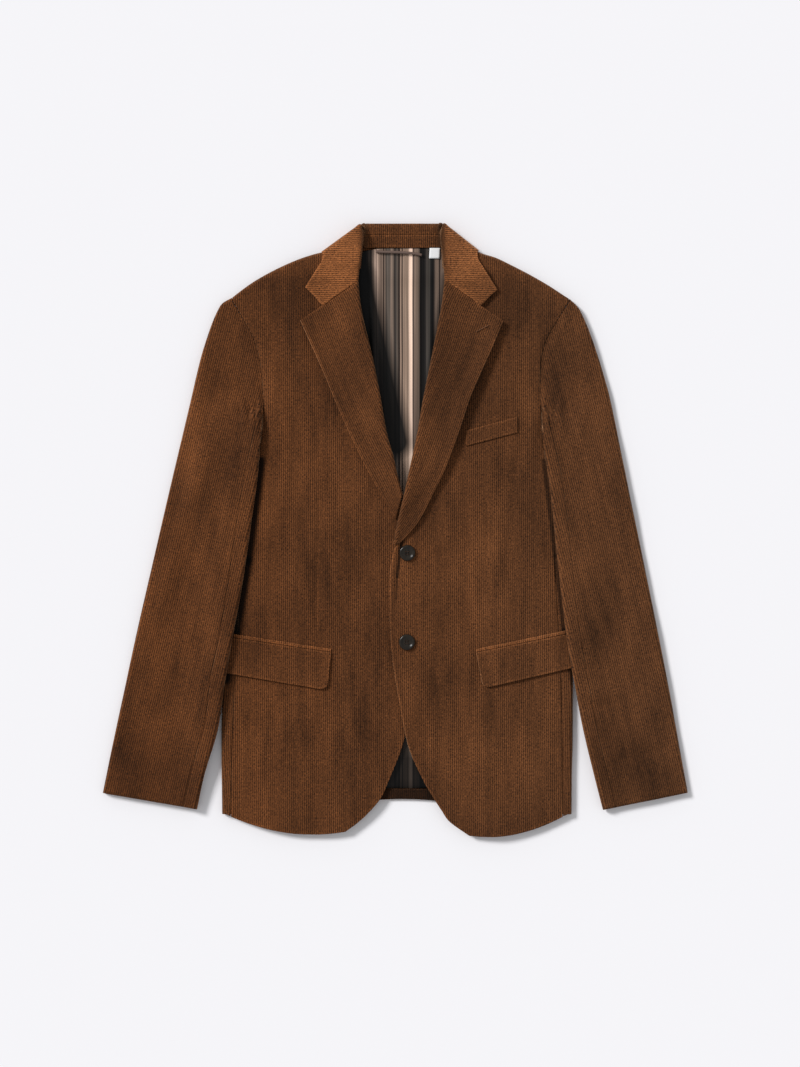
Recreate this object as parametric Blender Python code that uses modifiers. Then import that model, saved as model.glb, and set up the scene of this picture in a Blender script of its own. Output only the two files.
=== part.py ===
"""A corduroy jacket, buttoned and laid flat on its back.

Lengths are in millimetres until the last step of each piece. +X is the wearer's left, +Y the
collar and +Z up; the origin lies on the surface that the back rests on. "Right" and "left" are
the wearer's. Every height comes from a few layers: back, lining, fronts, then what lies on them.
"""
import math

import bpy
import bmesh
import numpy as np

MM = 0.001

# Driving dimensions
CLOTH = 3.0            # lined corduroy, one wall
LEAF = 2.4             # lapels, collar and pocket flaps
TRIM = 1.2             # jets, welt and hem turn-up
SATIN = 1.0            # back lining
SEAM = 0.3             # half of what separates two pieces at a seam
REST = 0.5             # air between a piece and what it lies on
LAID = 9.8             # height of two walls laid on each other
FOLD = (LAID - CLOTH) / 2          # middle radius of the rounded edges
MIDDLE = LAID / 2                  # height of the seam at a rounded edge
TOP = LAID - CLOTH / 2             # middle of the upper wall
UNDER = CLOTH / 2                  # middle of the lower wall
LINING = CLOTH + SEAM + SATIN / 2  # middle of the lining
ROLL = 2.6                         # middle radius of the lapel roll
ROLL_REACH = 5.1                   # from the roll's edge to the front's own edge
SLEEVE_STEP = LAID + 1.0           # how far a sleeve climbs to lie on the body
STEP_WIDTH = 45.0
BACK_SEAM_X = 9.0
COLLAR_FOLD = 6.8                  # middle radius of the collar's turn over the shoulder
COLLAR_CREST = 19.5                # height of that turn beside the neck
COLLAR_CORNER = 15.5               # and at the collar's outer edge
NECK_LIFT = 2.8                    # the body rises over the collar folded beneath it
TURN_DOWN = [math.pi * turn for turn in (0.5, 0.25, 0, -0.25, -0.5)]
BUTTON_RADIUS = 10.0
BUTTON_THICK = 3.4
BUTTONS = {"button_upper": (15.0, -28.5), "button_lower": (14.5, -139.5)}


class Table:
    """Rows with named columns, read smoothly by the first column."""

    def __init__(self, columns, *rows):
        self.names = columns.split()
        self.values = np.array(sorted(rows), float)

    def column(self, name):
        return self.values[:, self.names.index(name)]

    def read(self, name, where):
        key, value = self.column(self.names[0]), self.column(name)
        where = np.clip(np.asarray(where, float), key[0], key[-1])
        steps = np.diff(value) / np.diff(key)
        before, after = steps[:-1], steps[1:]
        mean = 2 * before * after / np.where(before + after == 0, 1, before + after)
        slopes = np.concatenate([[steps[0]], np.where(before * after > 0, mean, 0), [steps[-1]]])
        i = np.clip(np.searchsorted(key, where, side="right") - 1, 0, len(key) - 2)
        gap = key[i + 1] - key[i]
        t = (where - key[i]) / gap
        rise = value[i + 1] - value[i]
        bend = t * (t - 1) * ((t - 1) * (slopes[i] * gap - rise) + t * (slopes[i + 1] * gap - rise))
        return value[i] + rise * t + bend


def smooth(t):
    t = np.clip(t, 0.0, 1.0)
    return t * t * (3.0 - 2.0 * t)


class Half:
    """One side of the garment: sign is -1 for the wearer's right and +1 for the left."""

    def __init__(self, sign, **tables):
        self.sign = sign
        self.__dict__.update(tables)


RIGHT = Half(
    -1,
    side=Table("y fold seam back",
               (-354, -216, -205, -168), (-260, -217, -203, -166), (-139, -213, -198, -165),
               (-40, -207, -192, -164), (85, -206, -189.5, -163)),
    armhole=Table("f x y",
                  (0, -170, 96), (0.15, -166, 125), (0.3, -164.5, 155), (0.45, -165.5, 185),
                  (0.6, -169, 213), (0.75, -177, 240), (0.88, -191, 266), (0.983, -202.6, 285.1),
                  (1, -202.6, 288.5)),
    shoulder=Table("x y", (-203, 290), (-179, 308), (-149, 325), (-114, 339), (-92, 343.3),
                   (-75, 349), (-58, 356)),
    roll=Table("y x", (-60, 37), (-28, 35), (0, 27), (24, 19), (42.5, 9.6), (60, 4.5), (99, -4),
               (119, -10), (164, -18), (219, -29), (265, -40), (310, -46), (383, -46)),
    edge=Table("y x", (-376, -62), (-365, -47), (-351, -32), (-334, -18), (-312, -8), (-288, 2),
               (-258, 12), (-205, 23), (-155, 30), (-105, 35), (-60, 36), (-28, 33)),
    neck=-47.5,
    hem_bow=-12.0,
    lapel=Table("roll_y edge_x edge_y lift",
                (45, 0.5, 13, 0.5), (58, -10, 31, 1), (72, -20, 48, 1.5), (88, -31, 68, 2),
                (106, -43, 91, 3), (128, -55, 116, 4), (160, -73, 157, 5), (200, -90, 198, 5),
                (240, -107, 236, 4.5), (275, -114, 252, 4), (309, -118, 261, 4)),
    notch=(-89.5, 280.0), point=(-112.0, 302.0), fold=((-45.0, 383.0), (-92.0, 347.0)),
    sleeve=Table("v in_x in_y out_x out_y",
                 (0, -247, -348, -365, -328), (0.11, -236, -299, -351.5, -262),
                 (0.23, -220, -246, -336, -190), (0.3, -214, -214, -327, -147),
                 (0.4, -211, -170, -313, -86), (0.52, -198, -118, -296, -12),
                 (0.64, -190, -66, -280, 57), (0.75, -182, -14, -263, 128),
                 (0.83, -177, 22, -252.5, 172), (0.9, -172, 55, -243.5, 210),
                 (0.95, -169.5, 79, -231, 250), (0.975, -169.3, 88, -221, 273),
                 (0.99, -169.6, 93, -213, 284.5), (1, -170, 96, -202.6, 290)),
)
LEFT = Half(
    1,
    side=Table("y fold seam back",
               (-354, 220, 209, 176), (-295, 220.5, 208.5, 175), (-235, 222, 208, 174),
               (-139, 220, 205, 173), (-40, 215, 199, 174), (85, 213, 197, 177)),
    armhole=Table("f x y",
                  (0, 186, 96), (0.15, 183, 125), (0.3, 181.5, 155), (0.45, 180.5, 185),
                  (0.6, 182, 213), (0.75, 189, 239), (0.88, 203, 263), (0.983, 216, 283.8),
                  (1, 216, 287.2)),
    shoulder=Table("x y", (70, 357), (88, 350), (105, 345), (124, 340), (156, 324.5), (182, 310.5),
                   (216, 288.7)),
    roll=Table("y x", (-60, -6), (-36, -5), (-20, -3), (11, 3), (42.5, 10.5), (80, 18.5),
               (119, 27), (155, 33), (210, 44), (262, 54), (306, 61), (383, 62)),
    edge=Table("y x", (-381, 92), (-374, 78), (-360, 65), (-339, 51), (-323, 41), (-287, 23),
               (-257, 13), (-188, 1), (-145, -5), (-97, -7), (-59, -7), (-35, -4.5), (-20, 1)),
    neck=63.5,
    hem_bow=-11.0,
    lapel=Table("roll_y edge_x edge_y lift",
                (-18, 7, -15, 0.5), (-4, 17, -4, 1), (12, 28.5, 10, 1.5), (32, 41, 34, 2),
                (60, 56, 62, 3.5), (92, 68, 92, 6), (125, 79.5, 124, 8), (165, 94, 168, 10),
                (210, 114.5, 214, 10), (250, 126, 241, 8), (282, 131.5, 254, 6.5),
                (310, 134, 260, 6)),
    notch=(106.0, 280.0), point=(127.0, 299.0), fold=((62.0, 384.0), (104.0, 349.0)),
    sleeve=Table("v in_x in_y out_x out_y",
                 (0, 259, -349, 365, -327.5), (0.12, 245.5, -297, 353, -262),
                 (0.25, 231, -236, 340.5, -192), (0.37, 222, -186, 325, -114),
                 (0.5, 211.5, -124, 308.5, -33), (0.62, 205.5, -70, 293, 42),
                 (0.72, 200, -22, 281, 100), (0.8, 196, 20, 270.5, 153),
                 (0.86, 193, 45, 262, 185), (0.9, 191, 60, 255, 209), (0.95, 188, 80, 242, 247),
                 (0.975, 186.8, 88, 232.5, 268), (0.99, 186.3, 93, 225, 280.5),
                 (1, 186, 96, 216, 288.7)),
)
ROLL_HEIGHT = Table("y rise", (-40, 0), (-20, 0.6), (10, 2), (42, 4), (100, 6.5), (200, 7), (310, 6),
                    (345, 2.5), (383, 2))
POCKETS = {"right": ((-202.0, -134.5), (-80.0, -152.5), (-211.5, -178.0), (-84.0, -199.5)),
           "left": ((213.5, -130.0), (101.0, -152.5), (219.0, -172.0), (108.0, -197.5))}


def neck_lift(x, y):
    return NECK_LIFT * smooth((y - 290) / 40) * smooth((130 - abs(x - BACK_SEAM_X)) / 30)


def armhole_at(half, share):
    """A point of the armhole, on straight lines between its named points."""
    line = half.armhole
    return np.array([np.interp(share, line.column("f"), line.column(axis)) for axis in "xy"])


def outer_x(half, y):
    """Where a front ends at its side seam, or above it at the armhole."""
    low = half.side.read("seam", y)
    high = np.interp(y, half.armhole.column("y"), half.armhole.column("x"))
    return low + (high - low) * smooth((y - 78) / 20)


def plain_front(half, x, y):
    """Middle height of a front, without the turn at its shoulder edge."""
    inside = (outer_x(half, y) - x) * half.sign
    from_roll = (x - half.roll.read("x", y)) * half.sign
    z = TOP + 1.3 * smooth(inside / 70) + neck_lift(x, y)
    z = z + ROLL_HEIGHT.read("rise", y) * (1 - smooth(from_roll / 60))
    if half is LEFT:
        covered = np.where(y < 60, RIGHT.roll.read("x", y), -60)
        covered = np.where(y < -60, RIGHT.edge.read("x", y), covered)
        z = z + 4.1 * smooth((covered + 32 - x) / 30)
    return z


def rounded(half, x, y, z, turned):
    """Height z, turned in to the seam along the shoulder edge."""
    depth = np.clip((half.shoulder.read("y", x) - CLOTH / 2 - y) / FOLD, 0, 1)
    share = np.sqrt(1 - (1 - depth) ** 2)
    seam = MIDDLE + neck_lift(x, y)
    return seam + turned * np.maximum((z - seam) * share * turned, 0.75)


def sleeve_lift(half, x, y):
    """How high a sleeve rides where it lies on the body, fading out beyond the body's edge."""
    body = half.side.read("fold", y)
    free = armhole_at(half, 0.45)[0] - (STEP_WIDTH + 10) * half.sign
    body = body + (free - body) * smooth((y - 108) / 56)
    inside = (body - x) * half.sign
    pocket = 3.6 * smooth(1 - abs(y + 155) / 75) * smooth((inside + 20) / 25)
    return SLEEVE_STEP * smooth((inside + STEP_WIDTH + 10) / STEP_WIDTH) + pocket


def on_front(half, x, y):
    """Upper face of a front."""
    return plain_front(half, x, y) + CLOTH / 2


# Scene and building helpers

def clear_scene():
    for obj in list(bpy.data.objects):
        bpy.data.objects.remove(obj)


def material(name, color, roughness, metallic=0.0):
    made = bpy.data.materials.new(name)
    made.use_nodes = True
    shader = made.node_tree.nodes["Principled BSDF"]
    shader.inputs["Base Color"].default_value = (*color, 1)
    shader.inputs["Roughness"].default_value = roughness
    shader.inputs["Metallic"].default_value = metallic
    return made


def place(name, mesh, finish):
    obj = bpy.data.objects.new(name, mesh)
    obj.data.materials.append(finish)
    PARTS.objects.link(obj)
    mesh.shade_smooth()
    mesh.set_sharp_from_angle(angle=math.radians(50))
    return obj


def panel(name, rows, thickness, finish):
    """A wall through rows of points, half its thickness to each side of them."""
    rows = np.array(rows, float)
    count, across = rows.shape[:2]
    made = bmesh.new()
    bmesh.ops.create_grid(made, x_segments=across - 1, y_segments=count - 1, size=1.0)
    for vert, point in zip(made.verts, rows.reshape(-1, 3)):
        vert.co = point * MM
    mesh = bpy.data.meshes.new(name)
    made.to_mesh(mesh)
    made.free()
    obj = place(name, mesh, finish)
    wall = obj.modifiers.new("wall", "SOLIDIFY")
    wall.thickness = thickness * MM
    wall.offset = 0
    wall.use_rim = True
    return obj


def between(start, end, shares):
    """Points from start to end at the given shares, as an array."""
    shares = np.asarray(shares, float)[:, None]
    return np.asarray(start, float) * (1 - shares) + np.asarray(end, float) * shares


# Pieces of the body

SHOULDER_STEPS = (FOLD, 1.7, 0.5, 0.0)
ARMHOLE_SHARES = (0.15, 0.3, 0.45, 0.6, 0.75, 0.88)


def front(name, half, finish):
    columns = np.array((0, 0.07, 0.18, 0.32, 0.48, 0.62, 0.75, 0.86, 0.94, 1))
    rows = []
    low = Table("outer_y inner_y bow",
                (-354.5, half.edge.values[0, 0], half.hem_bow), (-345, -364, half.hem_bow * 0.7),
                (-328, -350, half.hem_bow * 0.45), (-305, -333, half.hem_bow * 0.2),
                (-280, -310, 0), (-245, -270, 0), (-195, -215, 0), (-139, -155, 0),
                (-90, -100, 0), (-55, -62, 0), (-25, -28, 0), (-14, -18, 0),
                (10, 4, 0),
                (34, 22, 0), (58, 44, 0), (80, 68, 0))
    for outer_y, inner_y, bow in low.values:
        rows.append(((outer_x(half, outer_y) - SEAM * half.sign, outer_y), inner_y, bow))
    inner = (94, 122, 152, 184, 218, 252, 286)
    for share, inner_y in zip((0.03,) + ARMHOLE_SHARES, inner):
        x, y = armhole_at(half, share)
        rows.append(((x - SEAM * half.sign, y), inner_y, 3.0))
    grid = []
    for outer, inner_y, bow in rows:
        grid.append((outer, (inner_edge(half, inner_y), inner_y), bow))
    points = []
    for outer, inner_point, bow in grid:
        line = between(outer, inner_point, columns)
        line[:, 1] += 4 * bow * columns * (1 - columns)
        points.append(line)
    tip = armhole_at(half, 1.0)[0] - SEAM * half.sign
    neck_point = half.shoulder.column("x")[-1 if half is RIGHT else 0]
    across = tip + (neck_point - tip) * columns
    for inset in SHOULDER_STEPS:
        y = half.shoulder.read("y", across) - CLOTH / 2 - inset
        points.append(np.stack([across, y], 1))
    below, above = points[-5], points[-4]
    points[-4:-4] = [below + (above - below) * share for share in (0.35, 0.7)]
    points = np.array(points)
    x, y = points[..., 0], points[..., 1]
    z = rounded(half, x, y, plain_front(half, x, y), 1)
    return panel(name, flip(half, np.dstack([x, y, z])), CLOTH, finish)


def flip(half, rows):
    """Columns in one turning sense on both sides."""
    return rows if half is RIGHT else rows[:, ::-1]


def inner_edge(half, y):
    """Where a front ends: its cutaway, its buttoned edge, or just behind the roll."""
    if y < half.edge.values[-1, 0]:
        return float(half.edge.read("x", y))
    return float(half.roll.read("x", y)) + ROLL_REACH * half.sign


def back(name, half, finish):
    columns = np.linspace(0, 1, 8)
    seam = BACK_SEAM_X + SEAM * half.sign * 0.5
    points = []
    for y in (-350, -343, -300, -200, -100, 0, 60, 85):
        line = between((half.side.read("back", y) - SEAM * half.sign, y), (seam, y), columns)
        if y < -340:
            line[:, 1] += 14 * smooth(columns) * (1 if y == -350 else 0.5)
        points.append(line)
    for share, inner_y in zip((0.03,) + ARMHOLE_SHARES, (96, 125, 155, 185, 213, 240, 266)):
        x, y = armhole_at(half, share)
        points.append(between((x - SEAM * half.sign, y), (seam, inner_y), columns))
    tip = armhole_at(half, 1.0)[0] - SEAM * half.sign
    neck_point = half.shoulder.column("x")[-1 if half is RIGHT else 0]
    shoulder = np.linspace(0, 1, 5)
    for inset in SHOULDER_STEPS:
        x = tip + (neck_point - tip) * shoulder
        y = half.shoulder.read("y", x) - CLOTH / 2 - inset
        x = np.append(x, [BACK_SEAM_X + (neck_point - BACK_SEAM_X) * 0.8,
                          BACK_SEAM_X + (neck_point - BACK_SEAM_X) * 0.4, seam])
        y = np.append(y, [352.0 - inset, 350.5 - inset, 350.5 - inset])
        points.append(np.stack([x, y], 1))
    below, above = points[-5], points[-4]
    points[-4:-4] = [below + (above - below) * share for share in (0.35, 0.7)]
    points = np.array(points)
    x, y = points[..., 0], points[..., 1]
    z = UNDER + neck_lift(x, y)
    turned = rounded(half, x, y, z, -1)
    beyond = (x - neck_point) * half.sign
    z = z + (turned - z) * smooth((beyond + 12) / 12)
    return panel(name, flip(half, np.dstack([x, y, z])), CLOTH, finish)


def side(name, half, finish):
    rows = []
    for y in (-354, -340, -300, -260, -200, -139, -80, -20, 40, 84.3):
        seam = half.side.read("seam", y) + SEAM * half.sign
        fold = half.side.read("fold", y) - MIDDLE * half.sign
        inner = half.side.read("back", y) + SEAM * half.sign
        line = [(seam, TOP), (0.5 * (seam + fold), TOP)]
        for angle in TURN_DOWN:
            line.append((fold + half.sign * FOLD * math.cos(angle), MIDDLE + FOLD * math.sin(angle)))
        line += [(0.5 * (inner + fold), UNDER), (inner, UNDER)]
        rows.append([(x, y + (4 if y == -354 else 0) * (MIDDLE - z) / MIDDLE, z) for x, z in line])
    return panel(name, flip(half, np.array(rows))[:, ::-1], CLOTH, finish)


def lining(name, finish):
    columns = np.array((-150, -132, -115, -98, -75, -45, -18, 9, 36, 65, 93, 110, 127, 145, 165), float)
    top = np.where(columns < 0, RIGHT.shoulder.read("y", columns), LEFT.shoulder.read("y", columns))
    top = np.minimum(top - 14, 349.0)
    rows = []
    for y in (-322.6, -90, 120, 240, 266, 286):
        rows.append(np.stack([columns, columns * 0 + y, LINING + neck_lift(columns, y)], 1))
    for share in (0.25, 0.55, 1):
        y = 286 + (top - 286) * share
        lifted = LINING + neck_lift(columns, y) + 0.7 * smooth((y - 286) / 12)
        rows.append(np.stack([columns, y, lifted], 1))
    return panel(name, rows, SATIN, finish)


def back_hem(name, finish):
    columns = np.linspace(-150, 165, 9)
    low = -336 - 14 * smooth(abs(columns - BACK_SEAM_X) / 177)
    z = np.full(9, CLOTH + SEAM + TRIM / 2)
    rows = [np.stack([columns, low + 0.3, z], 1), np.stack([columns, low * 0 - 323.5, z], 1)]
    return panel(name, rows, TRIM, finish)


# Sleeves

FRONT_SEAM = 17.0      # from a sleeve's inner fold to its front seam
BACK_SEAM = 32.0       # from its outer fold to its back seam, beneath
SECTIONS = (0, 0.1, 0.22, 0.34, 0.48, 0.62, 0.74, 0.82, 0.87, 0.91, 0.94, 0.97, 1)


class Sleeve:
    """Sections of a laid sleeve, from its cuff to its armhole."""

    def __init__(self, half, v):
        self.half = half
        self.inner, self.outer = self.ends(v)
        self.length = float(np.linalg.norm(self.outer - self.inner))
        self.hang = float(smooth((v - 0.45) / 0.55)) ** 2
        self.settle = float(smooth((v - 0.5) / 0.3))
        (in_low, out_low), (in_high, out_high) = self.ends(v - 0.01), self.ends(v + 0.01)
        self.inward = self.normal(in_high - in_low, -half.sign)
        chord = (self.outer - self.inner) / self.length
        square = self.normal(out_high - out_low, half.sign)
        away = square + (np.array([0.0, 1.0]) - square) * float(smooth((v - 0.93) / 0.07))
        self.outward = away / np.linalg.norm(away)
        self.shift = np.array([1.8 * SEAM * half.sign * self.hang, 0.0])
        across = max(abs(float(chord @ self.inward)) * self.length, 60.0)
        share = FRONT_SEAM / across
        self.seam = share + (ARMHOLE_SHARES[1] - share) * self.hang
        self.seam_gap = (SEAM + 0.6 * self.hang) / across

    def ends(self, v):
        read = self.half.sleeve.read
        return (np.array([read("in_x", v), read("in_y", v)]),
                np.array([read("out_x", v), read("out_y", v)]))

    @staticmethod
    def normal(tangent, sign):
        across = np.array([tangent[1], -tangent[0]]) / np.linalg.norm(tangent)
        return across * np.sign(across[0]) * sign

    def plan(self, share):
        """A point of the section in plan; at the armhole it follows the armhole's curve."""
        chord = self.inner + (self.outer - self.inner) * share
        start, end = self.ends(1)
        curve = armhole_at(self.half, share) - start - (end - start) * share
        return chord + self.hang * curve + self.shift

    def arc(self, edge, away, angles):
        """The rounded fold at a silhouette point, turning in the direction away."""
        centre = edge - away * MIDDLE
        lift = sleeve_lift(self.half, *centre)
        points = []
        for angle in angles:
            flat = centre + away * FOLD * math.cos(angle)
            points.append((flat[0], flat[1], MIDDLE + FOLD * math.sin(angle) + lift))
        return points

    def wall(self, shares, height):
        points = []
        for share in shares:
            x, y = self.plan(share)
            lift = sleeve_lift(self.half, x, y)
            climb = min(lift / SLEEVE_STEP, 1.0)
            puff = 13.0 * climb * (1 - climb) * smooth((y - 50) / 40) if height == TOP else 0.0
            points.append((x, y, height + lift + puff))
        return points

    def spread(self, first, last, at_armhole):
        """Even shares between two, going over to the armhole's named points."""
        even = np.linspace(first, last, len(at_armhole) + 2)[:-1]
        named = np.array([first, *at_armhole])
        return even + (named - even) * self.settle


def sleeve_top(name, half, finish):
    rows = []
    for v in SECTIONS:
        section = Sleeve(half, v)
        high = 1 - MIDDLE / section.length
        seam = section.seam + section.seam_gap
        named = (0.5 * (seam + ARMHOLE_SHARES[2]), *ARMHOLE_SHARES[2:])
        shares = section.spread(seam, high, named)
        turn = section.arc(section.outer + section.shift, section.outward, TURN_DOWN)
        beneath = section.wall([1 - (BACK_SEAM - SEAM) / section.length], UNDER)
        rows.append(section.wall(shares, TOP) + turn + beneath)
    return panel(name, flip(half, np.array(rows))[:, ::-1], CLOTH, finish)


def sleeve_under(name, half, finish):
    rows = []
    for v in SECTIONS:
        section = Sleeve(half, v)
        start = 1 - (BACK_SEAM + SEAM) / section.length
        shares = section.spread(start, MIDDLE / section.length, ARMHOLE_SHARES[-2::-1])
        turn = section.arc(section.inner + section.shift, section.inward, TURN_DOWN[::-1])
        halfway = section.seam * 0.55
        halfway += (ARMHOLE_SHARES[0] - halfway) * section.settle
        over = section.wall([halfway, section.seam - section.seam_gap], TOP)
        rows.append(section.wall(shares, UNDER) + turn + over)
    return panel(name, flip(half, np.array(rows[::-1]))[:, ::-1], CLOTH, finish)


# Lapels and collar

def lapel_section(half, v):
    """One section of a lapel, from beneath its roll to its outer edge; v is 0 below, 1 at the gorge."""
    first, last = half.lapel.values[0, 0], half.lapel.values[-1, 0]
    roll_y = first + (last - first) * v
    read = half.lapel.read
    edge = np.array([read("edge_x", roll_y), read("edge_y", roll_y)])
    roll = np.array([half.roll.read("x", roll_y), roll_y])
    width = np.linalg.norm(edge - roll)
    away = (edge - roll) / width
    radius = min(ROLL, 0.3 * width)
    centre = roll + away * (radius + LEAF / 2)
    base = plain_front(half, *centre)
    points = []
    for angle in (-0.5, -0.75, -1.0, -1.25, -1.5):
        turn = math.pi * angle
        flat = centre + away * radius * math.cos(turn)
        points.append((flat[0], flat[1], base + radius + radius * math.sin(turn)))
    crest = 2 * radius - CLOTH / 2 - REST - LEAF / 2
    for share in (0.15, 0.35, 0.55, 0.75, 1.0):
        flat = centre + (edge - centre) * share
        air = crest * (1 - share) ** 2 + read("lift", roll_y) * share ** 2
        points.append((flat[0], flat[1], on_front(half, *flat) + REST + LEAF / 2 + max(air, 0)))
    return np.array(points)


def lapel(name, half, finish):
    rows = [lapel_section(half, v) for v in np.linspace(0, 1, 12)]
    return panel(name, flip(half, np.array(rows)), LEAF, finish)


def on_shoulder(half, x, y, air):
    return plain_front(half, x, y) + CLOTH / 2 + REST + LEAF / 2 + air


def gorge_section(half):
    """The collar's end: along the lapel's gorge to the notch, then its free edge to the point."""
    section = lapel_section(half, 1.0)
    start, tip = section[4, :2], section[-1, :2]
    away = np.array([tip[1] - start[1], start[0] - tip[0]])
    away *= -np.sign(away[1]) * -1.0 / np.linalg.norm(away)
    points = [section[0], section[2], section[4]]
    notch, point = np.array(half.notch), np.array(half.point)
    for share in (0.25, 0.5, 0.75, 1.0):
        flat = start + (notch - start) * share
        points.append(np.array([*flat, 0]))
    for share in (0.5, 1.0):
        points.append(np.array([*(notch + (point - notch) * share), 0]))
    for k, item in enumerate(points):
        if k < 7:
            item = item + np.array([*away * 0.9, 0])
        if k > 2:
            item[2] = on_shoulder(half, item[0], item[1], 2.4 * (1 - (k - 2) / 6) + 2.5 * (k - 2) / 6)
        points[k] = item
    return np.array(points)


def side_sections(half):
    """Sections of the leaf that lie on the shoulder, from the gorge to the fold over its edge."""
    sign = half.sign
    first = gorge_section(half)
    inner, outer = np.array(half.fold[0]), np.array(half.fold[1])
    along = (outer - inner) / np.linalg.norm(outer - inner)
    away = np.array([-along[1], along[0]])
    away *= np.sign(away[1])
    axis_in, axis_out = (p - away * (COLLAR_FOLD + LEAF / 2) for p in (inner, outer))
    shares = np.array((0, 0.12, 0.3, 0.5, 0.7, 0.85, 1.0))
    sections = [first]
    top = COLLAR_CREST + (COLLAR_CORNER - COLLAR_CREST) * shares
    for k in (0.3, 0.6, 0.85):
        rim = axis_in + np.array([-sign * 1.5, -0.5])
        last = np.array([rim + (axis_out - rim) * share for share in shares])
        body = first[2:].copy()
        body[:, :2] = body[:, :2] * (1 - k) + last[:, :2] * k
        air = np.linspace(2.4, 2.5, 7)
        height = on_shoulder(half, body[:, 0], body[:, 1], air)
        body[:, 2] = height * (1 - k ** 4) + top * k ** 4
        seam = first[0] * (1 - k) + np.array([inner[0] - sign * 2.5, 367.5, 9.6]) * k
        middle = 0.5 * (seam + body[0]) + np.array([-sign * 1.2, 0, 0.6])
        sections.append(np.vstack([seam, middle, body]))
    for out, up in ((0.66, 0.96), (1.0, 0.5), (0.7, 0.03)):
        ring = []
        for share in shares:
            flat = axis_in + (axis_out - axis_in) * share + away * COLLAR_FOLD * out
            high = COLLAR_CREST + (COLLAR_CORNER - COLLAR_CREST) * share
            ring.append((*flat, LEAF / 2 + (high - LEAF / 2) * up))
        ring = np.array(ring)
        drop = 1 - up
        seam = np.array([inner[0] - sign * (3 + 5 * drop), 368.7, 9.4 - 0.8 * drop])
        middle = 0.5 * (seam + ring[0]) + np.array([0, 0, 1.5])
        sections.append(np.vstack([seam, middle, ring]))
    return sections


def back_section(x, share):
    """A section of the leaf behind the neck: up over the roll and down beneath the back."""
    edge_y = 338 + 3 * share
    points = [(x, 368.7, 8.6), (x, 375.5, 9.3), (x, 380.0, 8.0), (x, 381.2, 5.2), (x, 379.0, 2.2),
              (x, 374.5, LEAF / 2), (x, 362, LEAF / 2), (x, 350, LEAF / 2), (x, edge_y, LEAF / 2)]
    return np.array(points)


def collar_fall(name, finish):
    right, left = side_sections(RIGHT), side_sections(LEFT)
    middle = [back_section(x, abs(x - BACK_SEAM_X) / 55) for x in (-22, -6, 9, 24, 40)]
    for end, near in ((right[-1], middle[0]), (left[-1], middle[-1])):
        lean = 0.55 * end + 0.45 * near
        lean[4:, 2] = LEAF / 2
        lean[3, 2] = 3.2
        (right if end is right[-1] else left).append(lean)
    rows = right + middle + left[::-1]
    return panel(name, np.array(rows)[:, ::-1], LEAF, finish)


def collar_stand(name, finish):
    right, left = side_sections(RIGHT), side_sections(LEFT)
    seams = [s[0] for s in right[1:]] + [np.array([x, 368.7, 8.6]) for x in (-22, -6, 9, 24, 40)]
    seams += [s[0] for s in left[:0:-1]]
    rows = []
    for top in seams:
        if top[1] < 366:
            sign = -1 if top[0] < BACK_SEAM_X else 1
            low = np.array([top[0] - sign * 3.2, top[1], 9.4])
        else:
            low = np.array([BACK_SEAM_X + (top[0] - BACK_SEAM_X) * 0.93, 354.6, 7.6])
        end = top + (low - top) / np.linalg.norm(low - top) * 2.6
        rows.append([low, 0.5 * (low + end), end])
    return panel(name, np.array(rows)[:, ::-1], LEAF * 0.75, finish)


# Pockets and small pieces

def patch(name, half, corners, thickness, air, finish, columns=9, rows=3, corner=0.0):
    """A flat piece on a front. corners are outer top, inner top, outer bottom, inner bottom."""
    outer_top, inner_top, outer_low, inner_low = (np.array(c) for c in corners)
    across = np.sin(np.linspace(0, math.pi / 2, columns))
    grid = []
    for share in np.linspace(0, 1, rows):
        top = between(outer_top, inner_top, across)
        low = between(outer_low, inner_low, across)
        length = np.linalg.norm(inner_low - outer_low)
        into = np.clip(1 - (1 - across) * length / corner, 0, 1) if corner else across * 0
        low[:, 1] += corner * (1 - np.sqrt(1 - into ** 2)) * 0.8
        line = top + (low - top) * share
        z = on_front(half, line[:, 0], line[:, 1]) + REST * 0.8 + thickness / 2 + air * share
        grid.append(np.column_stack([line, z]))
    return panel(name, flip(half, np.array(grid))[::-1], thickness, finish)


def pocket(word, half, finish):
    outer_top, inner_top, outer_low, inner_low = POCKETS[word]
    patch("flap_" + word, half, POCKETS[word], LEAF, 1.2, finish, corner=11.0, rows=4)
    up = np.array((0.0, 0.6))
    jet = [np.array(outer_top) + up + (0, 4.4), np.array(inner_top) + up + (0, 3.6),
           np.array(outer_top) + up, np.array(inner_top) + up]
    patch("jet_" + word, half, jet, TRIM, 0.0, finish, rows=2)


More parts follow.
